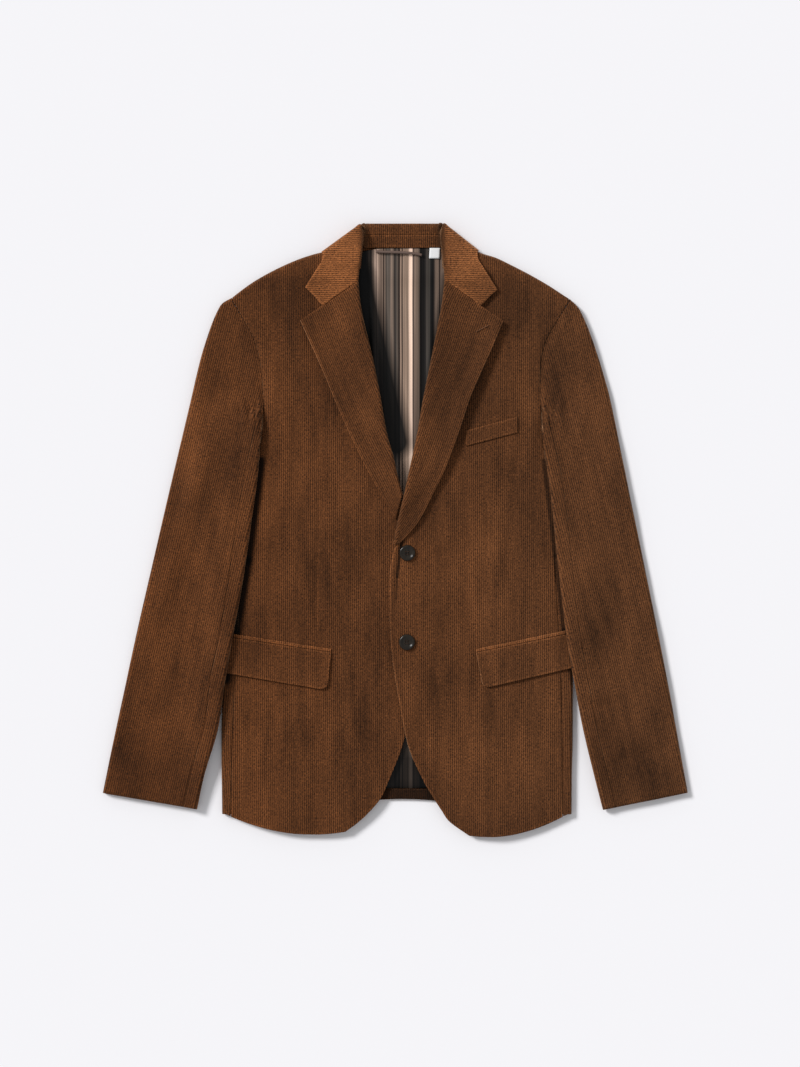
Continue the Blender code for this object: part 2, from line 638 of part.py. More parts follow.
def button(name, place_at, finish):
    """A turned disc with a raised rim, pierced four times."""
    x, y = place_at
    low = float(on_front(LEFT, x, y)) + 0.5
    profile = [(0.0, BUTTON_THICK - 1.0), (5.6, BUTTON_THICK - 1.0), (7.0, BUTTON_THICK),
               (8.8, BUTTON_THICK), (BUTTON_RADIUS, BUTTON_THICK * 0.55),
               (BUTTON_RADIUS - 1.6, 0.0), (0.0, 0.0)]
    mesh = bpy.data.meshes.new(name)
    points = [(r * MM, 0, z * MM) for r, z in profile]
    mesh.from_pydata(points, [(i, i + 1) for i in range(len(points) - 1)], [])
    obj = place(name, mesh, finish)
    obj.location = (x * MM, y * MM, low * MM)
    turned = obj.modifiers.new("turned", "SCREW")
    turned.steps = turned.render_steps = 16
    turned.use_merge_vertices = True
    turned.merge_threshold = 0.00005
    for number in range(4):
        angle = math.pi * (0.25 + number / 2)
        hole = bpy.data.meshes.new(f"{name}_hole_{number}")
        drill = bmesh.new()
        bmesh.ops.create_cone(drill, cap_ends=True, segments=8, radius1=0.9 * MM,
                              radius2=0.9 * MM, depth=10 * MM)
        drill.to_mesh(hole)
        drill.free()
        cutter = bpy.data.objects.new(f"{name}_hole_{number}", hole)
        CUTTERS.objects.link(cutter)
        cutter.location = ((x + 2.1 * math.cos(angle)) * MM, (y + 2.1 * math.sin(angle)) * MM,
                           (low + 2) * MM)
        cutter.hide_render = True
        cutter.display_type = "WIRE"
        cut = obj.modifiers.new("hole", "BOOLEAN")
        cut.object = cutter
    return obj


def hanger_loop(name, finish):
    line = Table("x y rise", (-24, 347.2, 0), (-18, 346.6, 0.2), (-4, 346.2, 0.4), (12, 345.6, 0.4),
                 (26, 344.2, 0.2), (33, 342.6, 0))
    curve = bpy.data.curves.new(name, "CURVE")
    curve.dimensions = "3D"
    curve.bevel_depth = 1.2 * MM
    curve.bevel_resolution = 2
    curve.use_fill_caps = True
    spline = curve.splines.new("POLY")
    across = np.linspace(-24, 33, 13)
    spline.points.add(len(across) - 1)
    for point, x in zip(spline.points, across):
        y = float(line.read("y", x))
        z = LINING + SATIN / 2 + float(neck_lift(x, y)) + 2.3 + float(line.read("rise", x))
        point.co = (x * MM, y * MM, z * MM, 1)
    obj = bpy.data.objects.new(name, curve)
    obj.data.materials.append(finish)
    PARTS.objects.link(obj)
    joined = obj.modifiers.new("joined", "WELD")
    joined.merge_threshold = 0.00001
    return obj


def size_label(name, finish):
    rows = []
    for y in (338.5, 345.0, 351.5):
        rows.append([(x + (y - 345) * 0.06, y, LINING + SATIN / 2 + NECK_LIFT + 1.5)
                     for x in (42.5, 49, 55.5)])
    return panel(name, rows, 0.8, finish)


clear_scene()
PARTS = bpy.data.collections.new("corduroy_jacket")
CUTTERS = bpy.data.collections.new("cutters")
bpy.context.scene.collection.children.link(PARTS)
bpy.context.scene.collection.children.link(CUTTERS)

CORDUROY = material("brown corduroy", (0.105, 0.042, 0.017), 0.85)
STRIPED = material("striped satin", (0.16, 0.13, 0.12), 0.35)
HORN = material("dark horn", (0.02, 0.017, 0.014), 0.25)
TAPE = material("white label tape", (0.85, 0.85, 0.85), 0.6)

for word, half in (("right", RIGHT), ("left", LEFT)):
    back("back_" + word, half, CORDUROY)
    side("side_" + word, half, CORDUROY)
    front("front_" + word, half, CORDUROY)
    lapel("lapel_" + word, half, CORDUROY)
    sleeve_top(f"sleeve_{word}_top", half, CORDUROY)
    sleeve_under(f"sleeve_{word}_under", half, CORDUROY)
    pocket(word, half, CORDUROY)
lining("lining_back", STRIPED)
back_hem("back_hem", CORDUROY)
collar_fall("collar_fall", CORDUROY)
collar_stand("collar_stand", CORDUROY)
patch("breast_welt", LEFT, ((152.0, 141.0), (89.0, 124.0), (152.5, 121.5), (87.5, 104.5)), TRIM, 0.3,
      CORDUROY, rows=3)
for word, spot in BUTTONS.items():
    button(word, spot, HORN)
hanger_loop("hanger_loop", STRIPED)
size_label("size_label", TAPE)
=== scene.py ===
"""A brown corduroy jacket, buttoned and laid flat on its back, made from its own pattern pieces.

Each operator makes one piece, or a group of like pieces, over the solids in the frame. Lengths are
in millimetres until a mesh is made. +X is the wearer's left, +Y the collar and +Z up. "Right" and
"left" are the wearer's.
"""
import math

import bpy
import bmesh
import numpy as np
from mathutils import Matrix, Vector


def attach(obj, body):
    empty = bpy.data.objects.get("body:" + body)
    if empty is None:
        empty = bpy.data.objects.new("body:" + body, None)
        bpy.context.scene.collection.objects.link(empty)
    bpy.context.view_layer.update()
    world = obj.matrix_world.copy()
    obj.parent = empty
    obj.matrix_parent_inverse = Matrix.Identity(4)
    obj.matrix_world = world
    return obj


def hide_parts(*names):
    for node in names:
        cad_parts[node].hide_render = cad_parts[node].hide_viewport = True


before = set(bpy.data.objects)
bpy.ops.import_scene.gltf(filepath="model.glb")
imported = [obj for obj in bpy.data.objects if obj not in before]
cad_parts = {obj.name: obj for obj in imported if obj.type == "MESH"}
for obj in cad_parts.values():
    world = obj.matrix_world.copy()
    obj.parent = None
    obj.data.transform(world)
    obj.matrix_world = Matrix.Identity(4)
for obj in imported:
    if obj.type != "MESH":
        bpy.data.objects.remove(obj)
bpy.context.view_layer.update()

bl_info = {
    "name": "Corduroy jacket",
    "version": (1, 0, 0),
    "blender": (4, 5, 0),
    "location": "3D View > Sidebar > Jacket",
    "description": "Makes a corduroy jacket laid flat, piece by piece",
    "category": "Add Mesh",
}

MM = 0.001

# Driving dimensions
CLOTH = 3.0            # lined corduroy, one wall
LEAF = 2.4             # lapels, collar and pocket flaps
TRIM = 1.2             # jets, welt and hem turn-up
SATIN = 1.0            # back lining
SEAM = 0.3             # half of what separates two pieces at a seam
REST = 0.5             # air between a piece and what it lies on
LAID = 9.8             # height of two walls laid on each other
FOLD = (LAID - CLOTH) / 2          # middle radius of the rounded edges
MIDDLE = LAID / 2                  # height of the seam at a rounded edge
TOP = LAID - CLOTH / 2             # middle of the upper wall
UNDER = CLOTH / 2                  # middle of the lower wall
LINING = CLOTH + SEAM + SATIN / 2  # middle of the lining
ROLL = 2.6                         # middle radius of the lapel roll
ROLL_REACH = 5.1                   # from the roll's edge to the front's own edge
SLEEVE_STEP = LAID + 1.0           # how far a sleeve climbs to lie on the body
STEP_WIDTH = 45.0
BACK_SEAM_X = 9.0
COLLAR_FOLD = 6.8                  # middle radius of the collar's turn over the shoulder
COLLAR_CREST = 19.5                # height of that turn beside the neck
COLLAR_CORNER = 15.5               # and at the collar's outer edge
NECK_LIFT = 2.8                    # the body rises over the collar folded beneath it
NECK_SEAM_Y, NECK_SEAM_Z = 368.7, 8.6   # where the collar's leaf and stand meet behind the neck
NECK_SECTIONS = (-35, -22, -6, 9, 24, 40, 52)
BELLY = 1.3                        # how far a front swells above its edges
LAP = 4.1                          # how far the left front rises over the right one
POCKET_LIFT = 3.6                  # and a sleeve over the pocket flap
PUFF = 13.0                        # fullness of a sleeve where it climbs on the body
TURN_DOWN = [math.pi * (0.5 - step / 8) for step in range(9)]
BUTTON_RADIUS = 10.0
BUTTON_THICK = 3.4
BUTTONS = {"button_upper": (15.0, -28.5), "button_lower": (14.5, -139.5)}


class Table:
    """Rows with named columns, read smoothly by the first column."""

    def __init__(self, columns, *rows):
        self.names = columns.split()
        self.values = np.array(sorted(rows), float)

    def column(self, name):
        return self.values[:, self.names.index(name)]

    def read(self, name, where):
        key, value = self.column(self.names[0]), self.column(name)
        where = np.clip(np.asarray(where, float), key[0], key[-1])
        steps = np.diff(value) / np.diff(key)
        before, after = steps[:-1], steps[1:]
        mean = 2 * before * after / np.where(before + after == 0, 1, before + after)
        slopes = np.concatenate([[steps[0]], np.where(before * after > 0, mean, 0), [steps[-1]]])
        i = np.clip(np.searchsorted(key, where, side="right") - 1, 0, len(key) - 2)
        gap = key[i + 1] - key[i]
        t = (where - key[i]) / gap
        rise = value[i + 1] - value[i]
        bend = t * (t - 1) * ((t - 1) * (slopes[i] * gap - rise) + t * (slopes[i + 1] * gap - rise))
        return value[i] + rise * t + bend


def smooth(t):
    t = np.clip(t, 0.0, 1.0)
    return t * t * (3.0 - 2.0 * t)


def add(name, data):
    """A new object in the scene."""
    obj = bpy.data.objects.new(name, data)
    bpy.context.scene.collection.objects.link(obj)
    return obj


def as_mesh(obj):
    """What an object's modifiers make of it, as a mesh of its own."""
    bpy.context.view_layer.update()
    graph = bpy.context.evaluated_depsgraph_get()
    return bpy.data.meshes.new_from_object(obj.evaluated_get(graph))


def stand_for(obj, node):
    """The object rides the garment in place of a solid."""
    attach(obj, "root")
    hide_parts(node)


class Half:
    """One side of the garment and its outlines; sign is -1 for the wearer's right, +1 for the left."""

    def __init__(self, sign, **tables):
        self.sign = sign
        self.__dict__.update(tables)


RIGHT = Half(
    -1,
    side=Table("y fold seam back",
               (-354, -216, -205, -168), (-260, -217, -203, -166), (-139, -213, -198, -165),
               (-40, -207, -192, -164), (85, -206, -189.5, -163)),
    armhole=Table("f x y",
                  (0, -170, 96), (0.15, -166, 125), (0.3, -164.5, 155), (0.45, -165.5, 185),
                  (0.6, -169, 213), (0.75, -177, 240), (0.88, -191, 266), (0.983, -202.6, 285.1),
                  (1, -202.6, 288.5)),
    shoulder=Table("x y", (-203, 290), (-179, 308), (-149, 325), (-114, 340), (-92, 346),
                   (-75, 349), (-58, 356)),
    roll=Table("y x", (-60, 37), (-28, 35), (0, 27), (24, 19), (42.5, 9.6), (60, 4.5), (99, -4),
               (119, -10), (164, -18), (219, -29), (265, -40), (310, -46), (383, -46)),
    edge=Table("y x", (-376, -62), (-365, -47), (-351, -32), (-334, -18), (-312, -8), (-288, 2),
               (-258, 12), (-205, 23), (-155, 30), (-105, 35), (-60, 36), (-28, 33)),
    neck=-47.5,
    hem_bow=-12.0,
    lapel=Table("roll_y edge_x edge_y lift",
                (45, 0.5, 13, 0.5), (58, -10, 31, 1), (72, -20, 48, 1.5), (88, -31, 68, 2),
                (106, -43, 91, 3), (128, -55, 116, 4), (160, -73, 157, 5), (200, -90, 198, 5),
                (240, -107, 236, 4.5), (275, -114, 252, 4), (309, -118, 261, 4)),
    notch=(-89.5, 280.0), point=(-112.0, 302.0), fold=((-45.0, 383.0), (-92.0, 347.0)),
    sleeve=Table("v in_x in_y out_x out_y",
                 (0, -247, -348, -365, -328), (0.11, -236, -299, -351.5, -262),
                 (0.23, -220, -246, -336, -190), (0.3, -214, -214, -327, -147),
                 (0.4, -211, -170, -313, -86), (0.52, -198, -118, -296, -12),
                 (0.64, -190, -66, -280, 57), (0.75, -182, -14, -263, 128),
                 (0.83, -177, 22, -252.5, 172), (0.9, -172, 55, -243.5, 210),
                 (0.95, -169.5, 79, -231, 250), (0.975, -169.3, 88, -221, 273),
                 (0.99, -169.6, 93, -213, 284.5), (1, -170, 96, -202.6, 290)),
)
LEFT = Half(
    1,
    side=Table("y fold seam back",
               (-354, 220, 209, 176), (-295, 220.5, 208.5, 175), (-235, 222, 208, 174),
               (-139, 220, 205, 173), (-40, 215, 199, 174), (85, 213, 197, 177)),
    armhole=Table("f x y",
                  (0, 186, 96), (0.15, 183, 125), (0.3, 181.5, 155), (0.45, 180.5, 185),
                  (0.6, 182, 213), (0.75, 189, 239), (0.88, 203, 263), (0.983, 216, 283.8),
                  (1, 216, 287.2)),
    shoulder=Table("x y", (70, 357), (88, 354.0), (105, 345.8), (124, 340), (156, 324.5), (182, 310.5),
                   (216, 288.7)),
    roll=Table("y x", (-60, -6), (-36, -5), (-20, -3), (11, 3), (42.5, 10.5), (80, 18.5),
               (119, 27), (155, 33), (210, 44), (262, 54), (306, 61), (383, 62)),
    edge=Table("y x", (-381, 92), (-374, 78), (-360, 65), (-339, 51), (-323, 41), (-287, 23),
               (-257, 13), (-188, 1), (-145, -5), (-97, -7), (-59, -7), (-35, -4.5), (-20, 1)),
    neck=63.5,
    hem_bow=-11.0,
    lapel=Table("roll_y edge_x edge_y lift",
                (-18, 7, -15, 0.5), (-4, 17, -4, 1), (12, 28.5, 10, 1.5), (32, 41, 34, 2),
                (60, 56, 62, 3.5), (92, 68, 92, 6), (125, 79.5, 124, 8), (165, 94, 168, 10),
                (210, 114.5, 214, 10), (250, 126, 241, 8), (282, 131.5, 254, 6.5),
                (310, 134, 260, 6)),
    notch=(106.0, 280.0), point=(127.0, 299.0), fold=((62.0, 384.0), (104.0, 349.0)),
    sleeve=Table("v in_x in_y out_x out_y",
                 (0, 259, -349, 365, -327.5), (0.12, 245.5, -297, 353, -262),
                 (0.25, 231, -236, 340.5, -192), (0.37, 222, -186, 325, -114),
                 (0.5, 211.5, -124, 308.5, -33), (0.62, 205.5, -70, 293, 42),
                 (0.72, 200, -22, 281, 100), (0.8, 196, 20, 270.5, 153),
                 (0.86, 193, 45, 262, 185), (0.9, 191, 60, 255, 209), (0.95, 188, 80, 242, 247),
                 (0.975, 186.8, 88, 232.5, 268), (0.99, 186.3, 93, 225, 280.5),
                 (1, 186, 96, 216, 288.7)),
)
ROLL_HEIGHT = Table("y rise", (-40, 0), (-20, 0.6), (10, 2), (42, 4), (100, 6.5), (200, 7), (310, 6),
                    (345, 2.5), (383, 2))
# Flap corners: outer top, inner top, outer bottom and inner bottom
POCKETS = {"right": ((-202.0, -134.5), (-80.0, -152.5), (-211.5, -178.0), (-84.0, -199.5)),
           "left": ((213.5, -130.0), (101.0, -152.5), (219.0, -172.0), (108.0, -197.5))}
BREAST_WELT = ((152.0, 141.0), (89.0, 124.0), (152.5, 121.5), (87.5, 104.5))


def neck_lift(x, y):
    return NECK_LIFT * smooth((y - 290) / 40) * smooth((130 - abs(x - BACK_SEAM_X)) / 30)


def armhole_at(half, share):
    """A point of the armhole, on straight lines between its named points."""
    line = half.armhole
    return np.array([np.interp(share, line.column("f"), line.column(axis)) for axis in "xy"])


def outer_x(half, y):
    """Where a front ends at its side seam, or above it at the armhole."""
    low = half.side.read("seam", y)
    high = np.interp(y, half.armhole.column("y"), half.armhole.column("x"))
    return low + (high - low) * smooth((y - 78) / 20)


def plain_front(half, x, y):
    """Middle height of a front, without the turn at its shoulder edge."""
    inside = (outer_x(half, y) - x) * half.sign
    from_roll = (x - half.roll.read("x", y)) * half.sign
    z = TOP + BELLY * smooth(inside / 70) + neck_lift(x, y)
    z = z + ROLL_HEIGHT.read("rise", y) * (1 - smooth(from_roll / 60))
    if half is LEFT:
        covered = np.where(y < 60, RIGHT.roll.read("x", y), -60)
        covered = np.where(y < -60, RIGHT.edge.read("x", y), covered)
        z = z + LAP * smooth((covered + 32 - x) / 30)
    return z


def rounded(half, x, y, z, turned):
    """Height z, turned in to the seam along the shoulder edge."""
    depth = np.clip((half.shoulder.read("y", x) - CLOTH / 2 - y) / FOLD, 0, 1)
    share = np.sqrt(1 - (1 - depth) ** 2)
    seam = MIDDLE + neck_lift(x, y)
    return seam + turned * np.maximum((z - seam) * share * turned, 0.75)


def sleeve_lift(half, x, y):
    """How high a sleeve rides where it lies on the body, fading out beyond the body's edge."""
    body = half.side.read("fold", y)
    free = armhole_at(half, 0.45)[0] - (STEP_WIDTH + 10) * half.sign
    body = body + (free - body) * smooth((y - 108) / 56)
    inside = (body - x) * half.sign
    pocket = POCKET_LIFT * smooth(1 - abs(y + 155) / 75) * smooth((inside + 20) / 25)
    return SLEEVE_STEP * smooth((inside + STEP_WIDTH + 10) / STEP_WIDTH) + pocket


def on_front(half, x, y):
    """Upper face of a front."""
    return plain_front(half, x, y) + CLOTH / 2


# Creases: low ridges and furrows along straight runs, shared by every layer they pass through

FOLD_DEPTH = 1.7
FOLDS = (
    # x0, y0, x1, y1, half-width, height
    (-252, 60, -300, -120, 13, 1.3),
    (-222, 150, -262, 0, 12, 1.1),
    (-205, 110, -236, -60, 9, -0.8),
    (-236, 225, -248, 120, 8, 0.9),
    (-345, -262, -285, -280, 6, -1.3),
    (-300, -240, -232, -268, 8, 0.9),
    (-330, -170, -262, -190, 9, -0.9),
    (-318, -96, -246, -128, 10, 0.9),
    (262, 90, 300, -90, 13, 1.3),
    (228, 150, 258, 10, 11, 1.1),
    (206, 90, 232, -60, 9, -0.9),
    (222, -212, 262, -224, 6, -1.7),
    (226, -200, 282, -206, 8, 1.1),
    (270, -290, 338, -272, 6, -1.2),
    (282, -150, 326, -170, 9, -0.9),
    (248, -96, 306, -122, 10, 0.8),
    (-160, 215, -120, 90, 12, 0.9),
    (-172, 190, -150, 60, 8, -0.8),
    (172, 190, 150, 60, 9, -0.8),
    (160, 230, 128, 150, 12, 0.8),
    (-60, -60, -12, -84, 9, -0.6),
    (20, -92, 70, -70, 10, 0.6),
    (24, -52, 72, -18, 8, -0.6),
    (-130, 305, -110, 190, 11, 0.8),
    (148, 290, 128, 190, 11, 0.7),
    (-110, -230, -60, -330, 16, 0.8),
    (100, -240, 120, -340, 18, 0.8),
    (180, -60, 120, -110, 12, 0.7),
    (-167, 112, -164, 175, 5, -1.0),
    (-164, 160, -174, 235, 5, -1.0),
    (-173, 225, -198, 278, 5, -0.8),
    (183, 112, 180.5, 175, 5, -1.0),
    (181, 160, 187, 235, 5, -1.0),
    (186, 225, 212, 278, 5, -0.8),
    (-94, 40, -97, -128, 3.5, -0.8),
    (116, 40, 116, -34, 3.5, -0.8),
    (-190, -60, -130, -110, 12, 0.7),
    (9, -8, 2, -74, 3.5, -0.8),
    (-1, -14, -5, -96, 3.0, 0.6),
)


def relief(x, y):
    """How far the cloth stands above its even form."""
    total = 0.8 * np.sin(x / 17.0 + y / 61.0) * np.sin(y / 37.0 - x / 90.0)
    total = total + 0.45 * np.sin(x / 9.5 - y / 43.0 + 1.3) * np.sin(y / 23.0 + x / 51.0)
    for x0, y0, x1, y1, wide, high in FOLDS:
        along = np.array([x1 - x0, y1 - y0], float)
        length = np.linalg.norm(along)
        along /= length
        run = ((x - x0) * along[0] + (y - y0) * along[1]) / length
        off = (x - x0) * along[1] - (y - y0) * along[0]
        fade = smooth(run / 0.3 + 0.5) * smooth((1 - run) / 0.3 + 0.5)
        total = total + FOLD_DEPTH * high * np.exp(-(off / wide) ** 2) * fade
    return total


LINING_FOLDS = (
    # x at the neck, x below, half-width, height
    (-31, -20, 2.6, 1.6), (-22, -10, 3.0, 1.2), (-6, -2, 3.5, 0.8), (6, 5, 2.6, -0.6),
    (14, 12, 3.0, 0.9), (25, 22, 3.2, 1.4), (36, 32, 3.0, -0.6), (48, 40, 3.0, 1.0),
)


def lining_folds(x, y):
    """Soft folds that run down the lining from the neck seam."""
    down = np.clip((345 - y) / 300, 0, 1)
    total = 0.0
    for top, low, wide, high in LINING_FOLDS:
        centre = top + (low - top) * down
        total = total + high * np.exp(-((x - centre) / (wide * (1 + down))) ** 2)
    return total * smooth((352 - y) / 14) * smooth((y + 315) / 40) * 0.8


def refine(grid, rows, columns):
    """The same surface through the same points, more finely."""
    def along(values, count):
        where = np.linspace(0, len(values) - 1, count)
        i = np.clip(where.astype(int), 0, len(values) - 2)
        t = (where - i).reshape((-1,) + (1,) * (values.ndim - 1))
        padded = np.concatenate([2 * values[:1] - values[1:2], values, 2 * values[-1:] - values[-2:-1]])
        steps = np.diff(padded, axis=0)
        before, after = steps[:-1], steps[1:]
        low = np.minimum(abs(before), abs(after))
        slopes = np.where(before * after > 0, np.clip((before + after) / 2, -2.5 * low, 2.5 * low), 0)
        p, q, m, n = values[i], values[i + 1], slopes[i], slopes[i + 1]
        return (p * (1 + 2 * t) * (1 - t) ** 2 + m * t * (1 - t) ** 2
                + q * t * t * (3 - 2 * t) - n * t * t * (1 - t))

    return np.swapaxes(along(np.swapaxes(along(grid, rows), 0, 1), columns), 0, 1)


def grid_normals(points):
    across = np.gradient(points, axis=1)
    along = np.gradient(points, axis=0)
    normals = np.cross(across, along)
    return normals / np.maximum(np.linalg.norm(normals, axis=2, keepdims=True), 1e-9)


# How finely each piece is divided, in rows and columns, how its wales run, and its share of creases
FINE = {
    "front": (230, 70, "y", 1.0), "back": (110, 40, "y", 0.0), "side": (130, 30, "rows", 0.5),
    "lapel": (110, 46, "edge", 0.5), "collar_fall": (170, 50, "collar", 0.35),
    "collar_stand": (120, 9, "collar", 0.0), "flap": (34, 70, "y", 1.0), "jet": (6, 60, "y", 1.0),
    "breast_welt": (14, 50, "y", 1.0), "back_hem": (8, 60, "y", 0.0),
    "lining_back": (150, 170, "y", 0.0), "size_label": (8, 8, "y", 0.0),
    "sleeve_left_top": (190, 90, "sleeve", 1.0), "sleeve_right_top": (190, 90, "sleeve", 1.0),
    "sleeve_left_under": (190, 80, "sleeve", 1.0), "sleeve_right_under": (190, 80, "sleeve", 1.0),
}
FLOOR = "jacket_floor"
SLEEVE_LEAN = math.radians(13.5)   # how far a laid sleeve's wales lean from the body's
RIM_HIGHLIGHT_FADE = 3.0                    # how far in from a free edge the painted rim highlight reaches
# pieces whose free edges get a painted rim highlight
RIM_LIT_PIECES = ("front", "lapel", "flap", "jet", "breast", "collar")
CALM_PASSES = 60                   # how often a sleeve's heights are evened out


def run_across(grid):
    """How far each point is from the first one in its row, along the row."""
    steps = np.linalg.norm(np.diff(grid, axis=1), axis=2)
    return np.concatenate([np.zeros((len(grid), 1)), np.cumsum(steps, 1)], 1)


def wale_coordinates(name, points, wales):
    """Millimetres across and along the wales, over a grid of points."""
    x, y = points[..., 0], points[..., 1]
    if wales == "y":
        return np.stack([x, y], 2)
    if wales == "collar":
        behind = smooth((52 - abs(x - BACK_SEAM_X)) / 9)
        return np.stack([x * behind + y * (1 - behind), y * behind + x * (1 - behind)], 2)
    if wales == "sleeve":
        lean = SLEEVE_LEAN * (-1 if "left" in name else 1)
        return np.stack([x * math.cos(lean) - y * math.sin(lean),
                         x * math.sin(lean) + y * math.cos(lean)], 2)
    across = run_across(points)
    down = run_across(np.swapaxes(points, 0, 1)).T
    if name.endswith("right") and wales == "edge":
        across = across - across[:, -1:]
    return np.stack([across, down], 2)


def free_edge(name, points):
    """Painted rim highlight: 1 at a turned or folded edge that lies free, and 0 from a little inside
    it.
    """
    away = []
    for grid in (points, np.swapaxes(points, 0, 1)):
        run = run_across(grid)
        away.append(np.minimum(run, run[:, -1:] - run))
    near = 1 - np.minimum(away[0], away[1].T) / RIM_HIGHLIGHT_FADE
    if name.startswith("front"):
        # only along the buttoned edge and the hem: the rest is sewn
        near = near * ((abs(points[..., 0]) < 62) | (points[..., 1] < -335))
    return np.clip(near, 0, 1) * name.startswith(RIM_LIT_PIECES)


def calm_down(points, facing):
    """Even out a sleeve's height where it faces up, between its rounded edges."""
    calm = smooth((facing - 0.85) / 0.1)[1:-1, 1:-1]
    for _ in range(CALM_PASSES):
        z = points[..., 2]
        near = (z[:-2, 1:-1] + z[2:, 1:-1] + z[1:-1, :-2] + z[1:-1, 2:]) / 4
        points[1:-1, 1:-1, 2] += (near - z[1:-1, 1:-1]) * calm
        for end in (0, -1):
            near = (z[:-2, end] + z[2:, end]) / 2
            points[1:-1, end, 2] += (near - z[1:-1, end]) * calm[:, end]


def grid_mesh(name, points, uv):
    """A mesh on a grid of points, with its wale coordinates and where its rim highlight is painted."""
    made = bmesh.new()
    bmesh.ops.create_grid(made, x_segments=points.shape[1] - 1, y_segments=len(points) - 1, size=1.0)
    for vert, point in zip(made.verts, points.reshape(-1, 3)):
        vert.co = point * MM
    mesh = bpy.data.meshes.new(name)
    made.to_mesh(mesh)
    made.free()
    corner = np.zeros(len(mesh.loops), int)
    mesh.loops.foreach_get("vertex_index", corner)
    mesh.uv_layers.new(name="cloth").data.foreach_set("uv", uv.reshape(-1, 2)[corner].ravel())
    edge = mesh.attributes.new("free_edge", "FLOAT", "POINT")
    edge.data.foreach_set("value", free_edge(name, points).ravel())
    mesh.shade_smooth()
    return mesh


def cloth(name, rows, thickness, finish):
    """A thin shell on a solid's form, with its creases and the run of its wales."""
    down, across, wales, creased = FINE.get(name) or FINE[name.split("_")[0]]
    points = refine(np.array(rows, float), down, across)
    uv = wale_coordinates(name, points, wales) * MM
    facing = grid_normals(points)[..., 2]
    if wales == "sleeve":
        calm_down(points, facing)
    if name == "lining_back":
        points[..., 2] += lining_folds(points[..., 0], points[..., 1])
    lift = relief(points[..., 0], points[..., 1]) * creased
    points[..., 2] += lift * smooth(abs(facing) / 0.6) * smooth((points[..., 2] - 2) / 3)
    mesh = grid_mesh(name, points, uv)
    obj = add(name + "_cloth", mesh)
    obj.data.materials.append(finish)
    wall = obj.modifiers.new("wall", "SOLIDIFY")
    wall.thickness = thickness * MM
    wall.offset = 0
    wall.use_rim = True
    stand_for(obj, name)
    return obj


def between(start, end, shares):
    """Points from start to end at the given shares, as an array."""
    shares = np.asarray(shares, float)[:, None]
    return np.asarray(start, float) * (1 - shares) + np.asarray(end, float) * shares


# Pieces of the body

SHOULDER_STEPS = (FOLD, 1.7, 0.5, 0.0)
ARMHOLE_SHARES = (0.15, 0.3, 0.45, 0.6, 0.75, 0.88)


def at_seam(half, share):
    """A point beside the armhole, where a body piece ends."""
    x, y = armhole_at(half, share)
    return x - SEAM * half.sign, y


def neck_point(half):
    """Where the shoulder edge meets the neck."""
    return half.shoulder.column("x")[-1 if half is RIGHT else 0]


def shoulder_line(half, shares, inset):
    """Points along the shoulder edge, from the armhole to the neck, a little below it."""
    tip = at_seam(half, 1.0)[0]
    x = tip + (neck_point(half) - tip) * shares
    return x, half.shoulder.read("y", x) - CLOTH / 2 - inset


def full_grid(rows):
    """The rows, with two more between the armhole and the shoulder edge."""
    below, above = rows[-5], rows[-4]
    rows[-4:-4] = [below + (above - below) * share for share in (0.35, 0.7)]
    return np.array(rows)


def front(name, half, finish):
    """A front from hem to shoulder, in rows from its side seam to its inner edge."""
    columns = np.array((0, 0.07, 0.18, 0.32, 0.48, 0.62, 0.75, 0.86, 0.94, 1))
    low = (
        # outer y, inner y, bow of the row as a share of the hem's
        (-357.5, half.edge.values[0, 0], 0.9), (-345, -364, 0.7), (-328, -350, 0.45),
        (-305, -333, 0.2), (-280, -310, 0), (-245, -270, 0), (-195, -215, 0), (-139, -155, 0),
        (-90, -100, 0), (-55, -62, 0), (-25, -28, 0), (-14, -18, 0), (10, 4, 0), (34, 22, 0),
        (58, 44, 0), (80, 68, 0))
    rows = [((outer_x(half, y) - SEAM * half.sign, y), inner_y, half.hem_bow * bow)
            for y, inner_y, bow in low]
    for share, inner_y in zip((0.03,) + ARMHOLE_SHARES, (94, 122, 152, 184, 218, 252, 286)):
        rows.append((at_seam(half, share), inner_y, 3.0))
    points = []
    for outer, inner_y, bow in rows:
        line = between(outer, (inner_edge(half, inner_y), inner_y), columns)
        line[:, 1] += 4 * bow * columns * (1 - columns)
        points.append(line)
    for inset in SHOULDER_STEPS:
        points.append(np.stack(shoulder_line(half, columns, inset), 1))
    points = full_grid(points)
    x, y = points[..., 0], points[..., 1]
    z = rounded(half, x, y, plain_front(half, x, y), 1)
    return cloth(name, flip(half, np.dstack([x, y, z])), CLOTH, finish)


def flip(half, rows):
    """Columns in one turning sense on both sides."""
    return rows if half is RIGHT else rows[:, ::-1]


def inner_edge(half, y):
    """Where a front ends: its cutaway, its buttoned edge, or just behind the roll."""
    if y < half.edge.values[-1, 0]:
        return float(half.edge.read("x", y))
    return float(half.roll.read("x", y)) + ROLL_REACH * half.sign


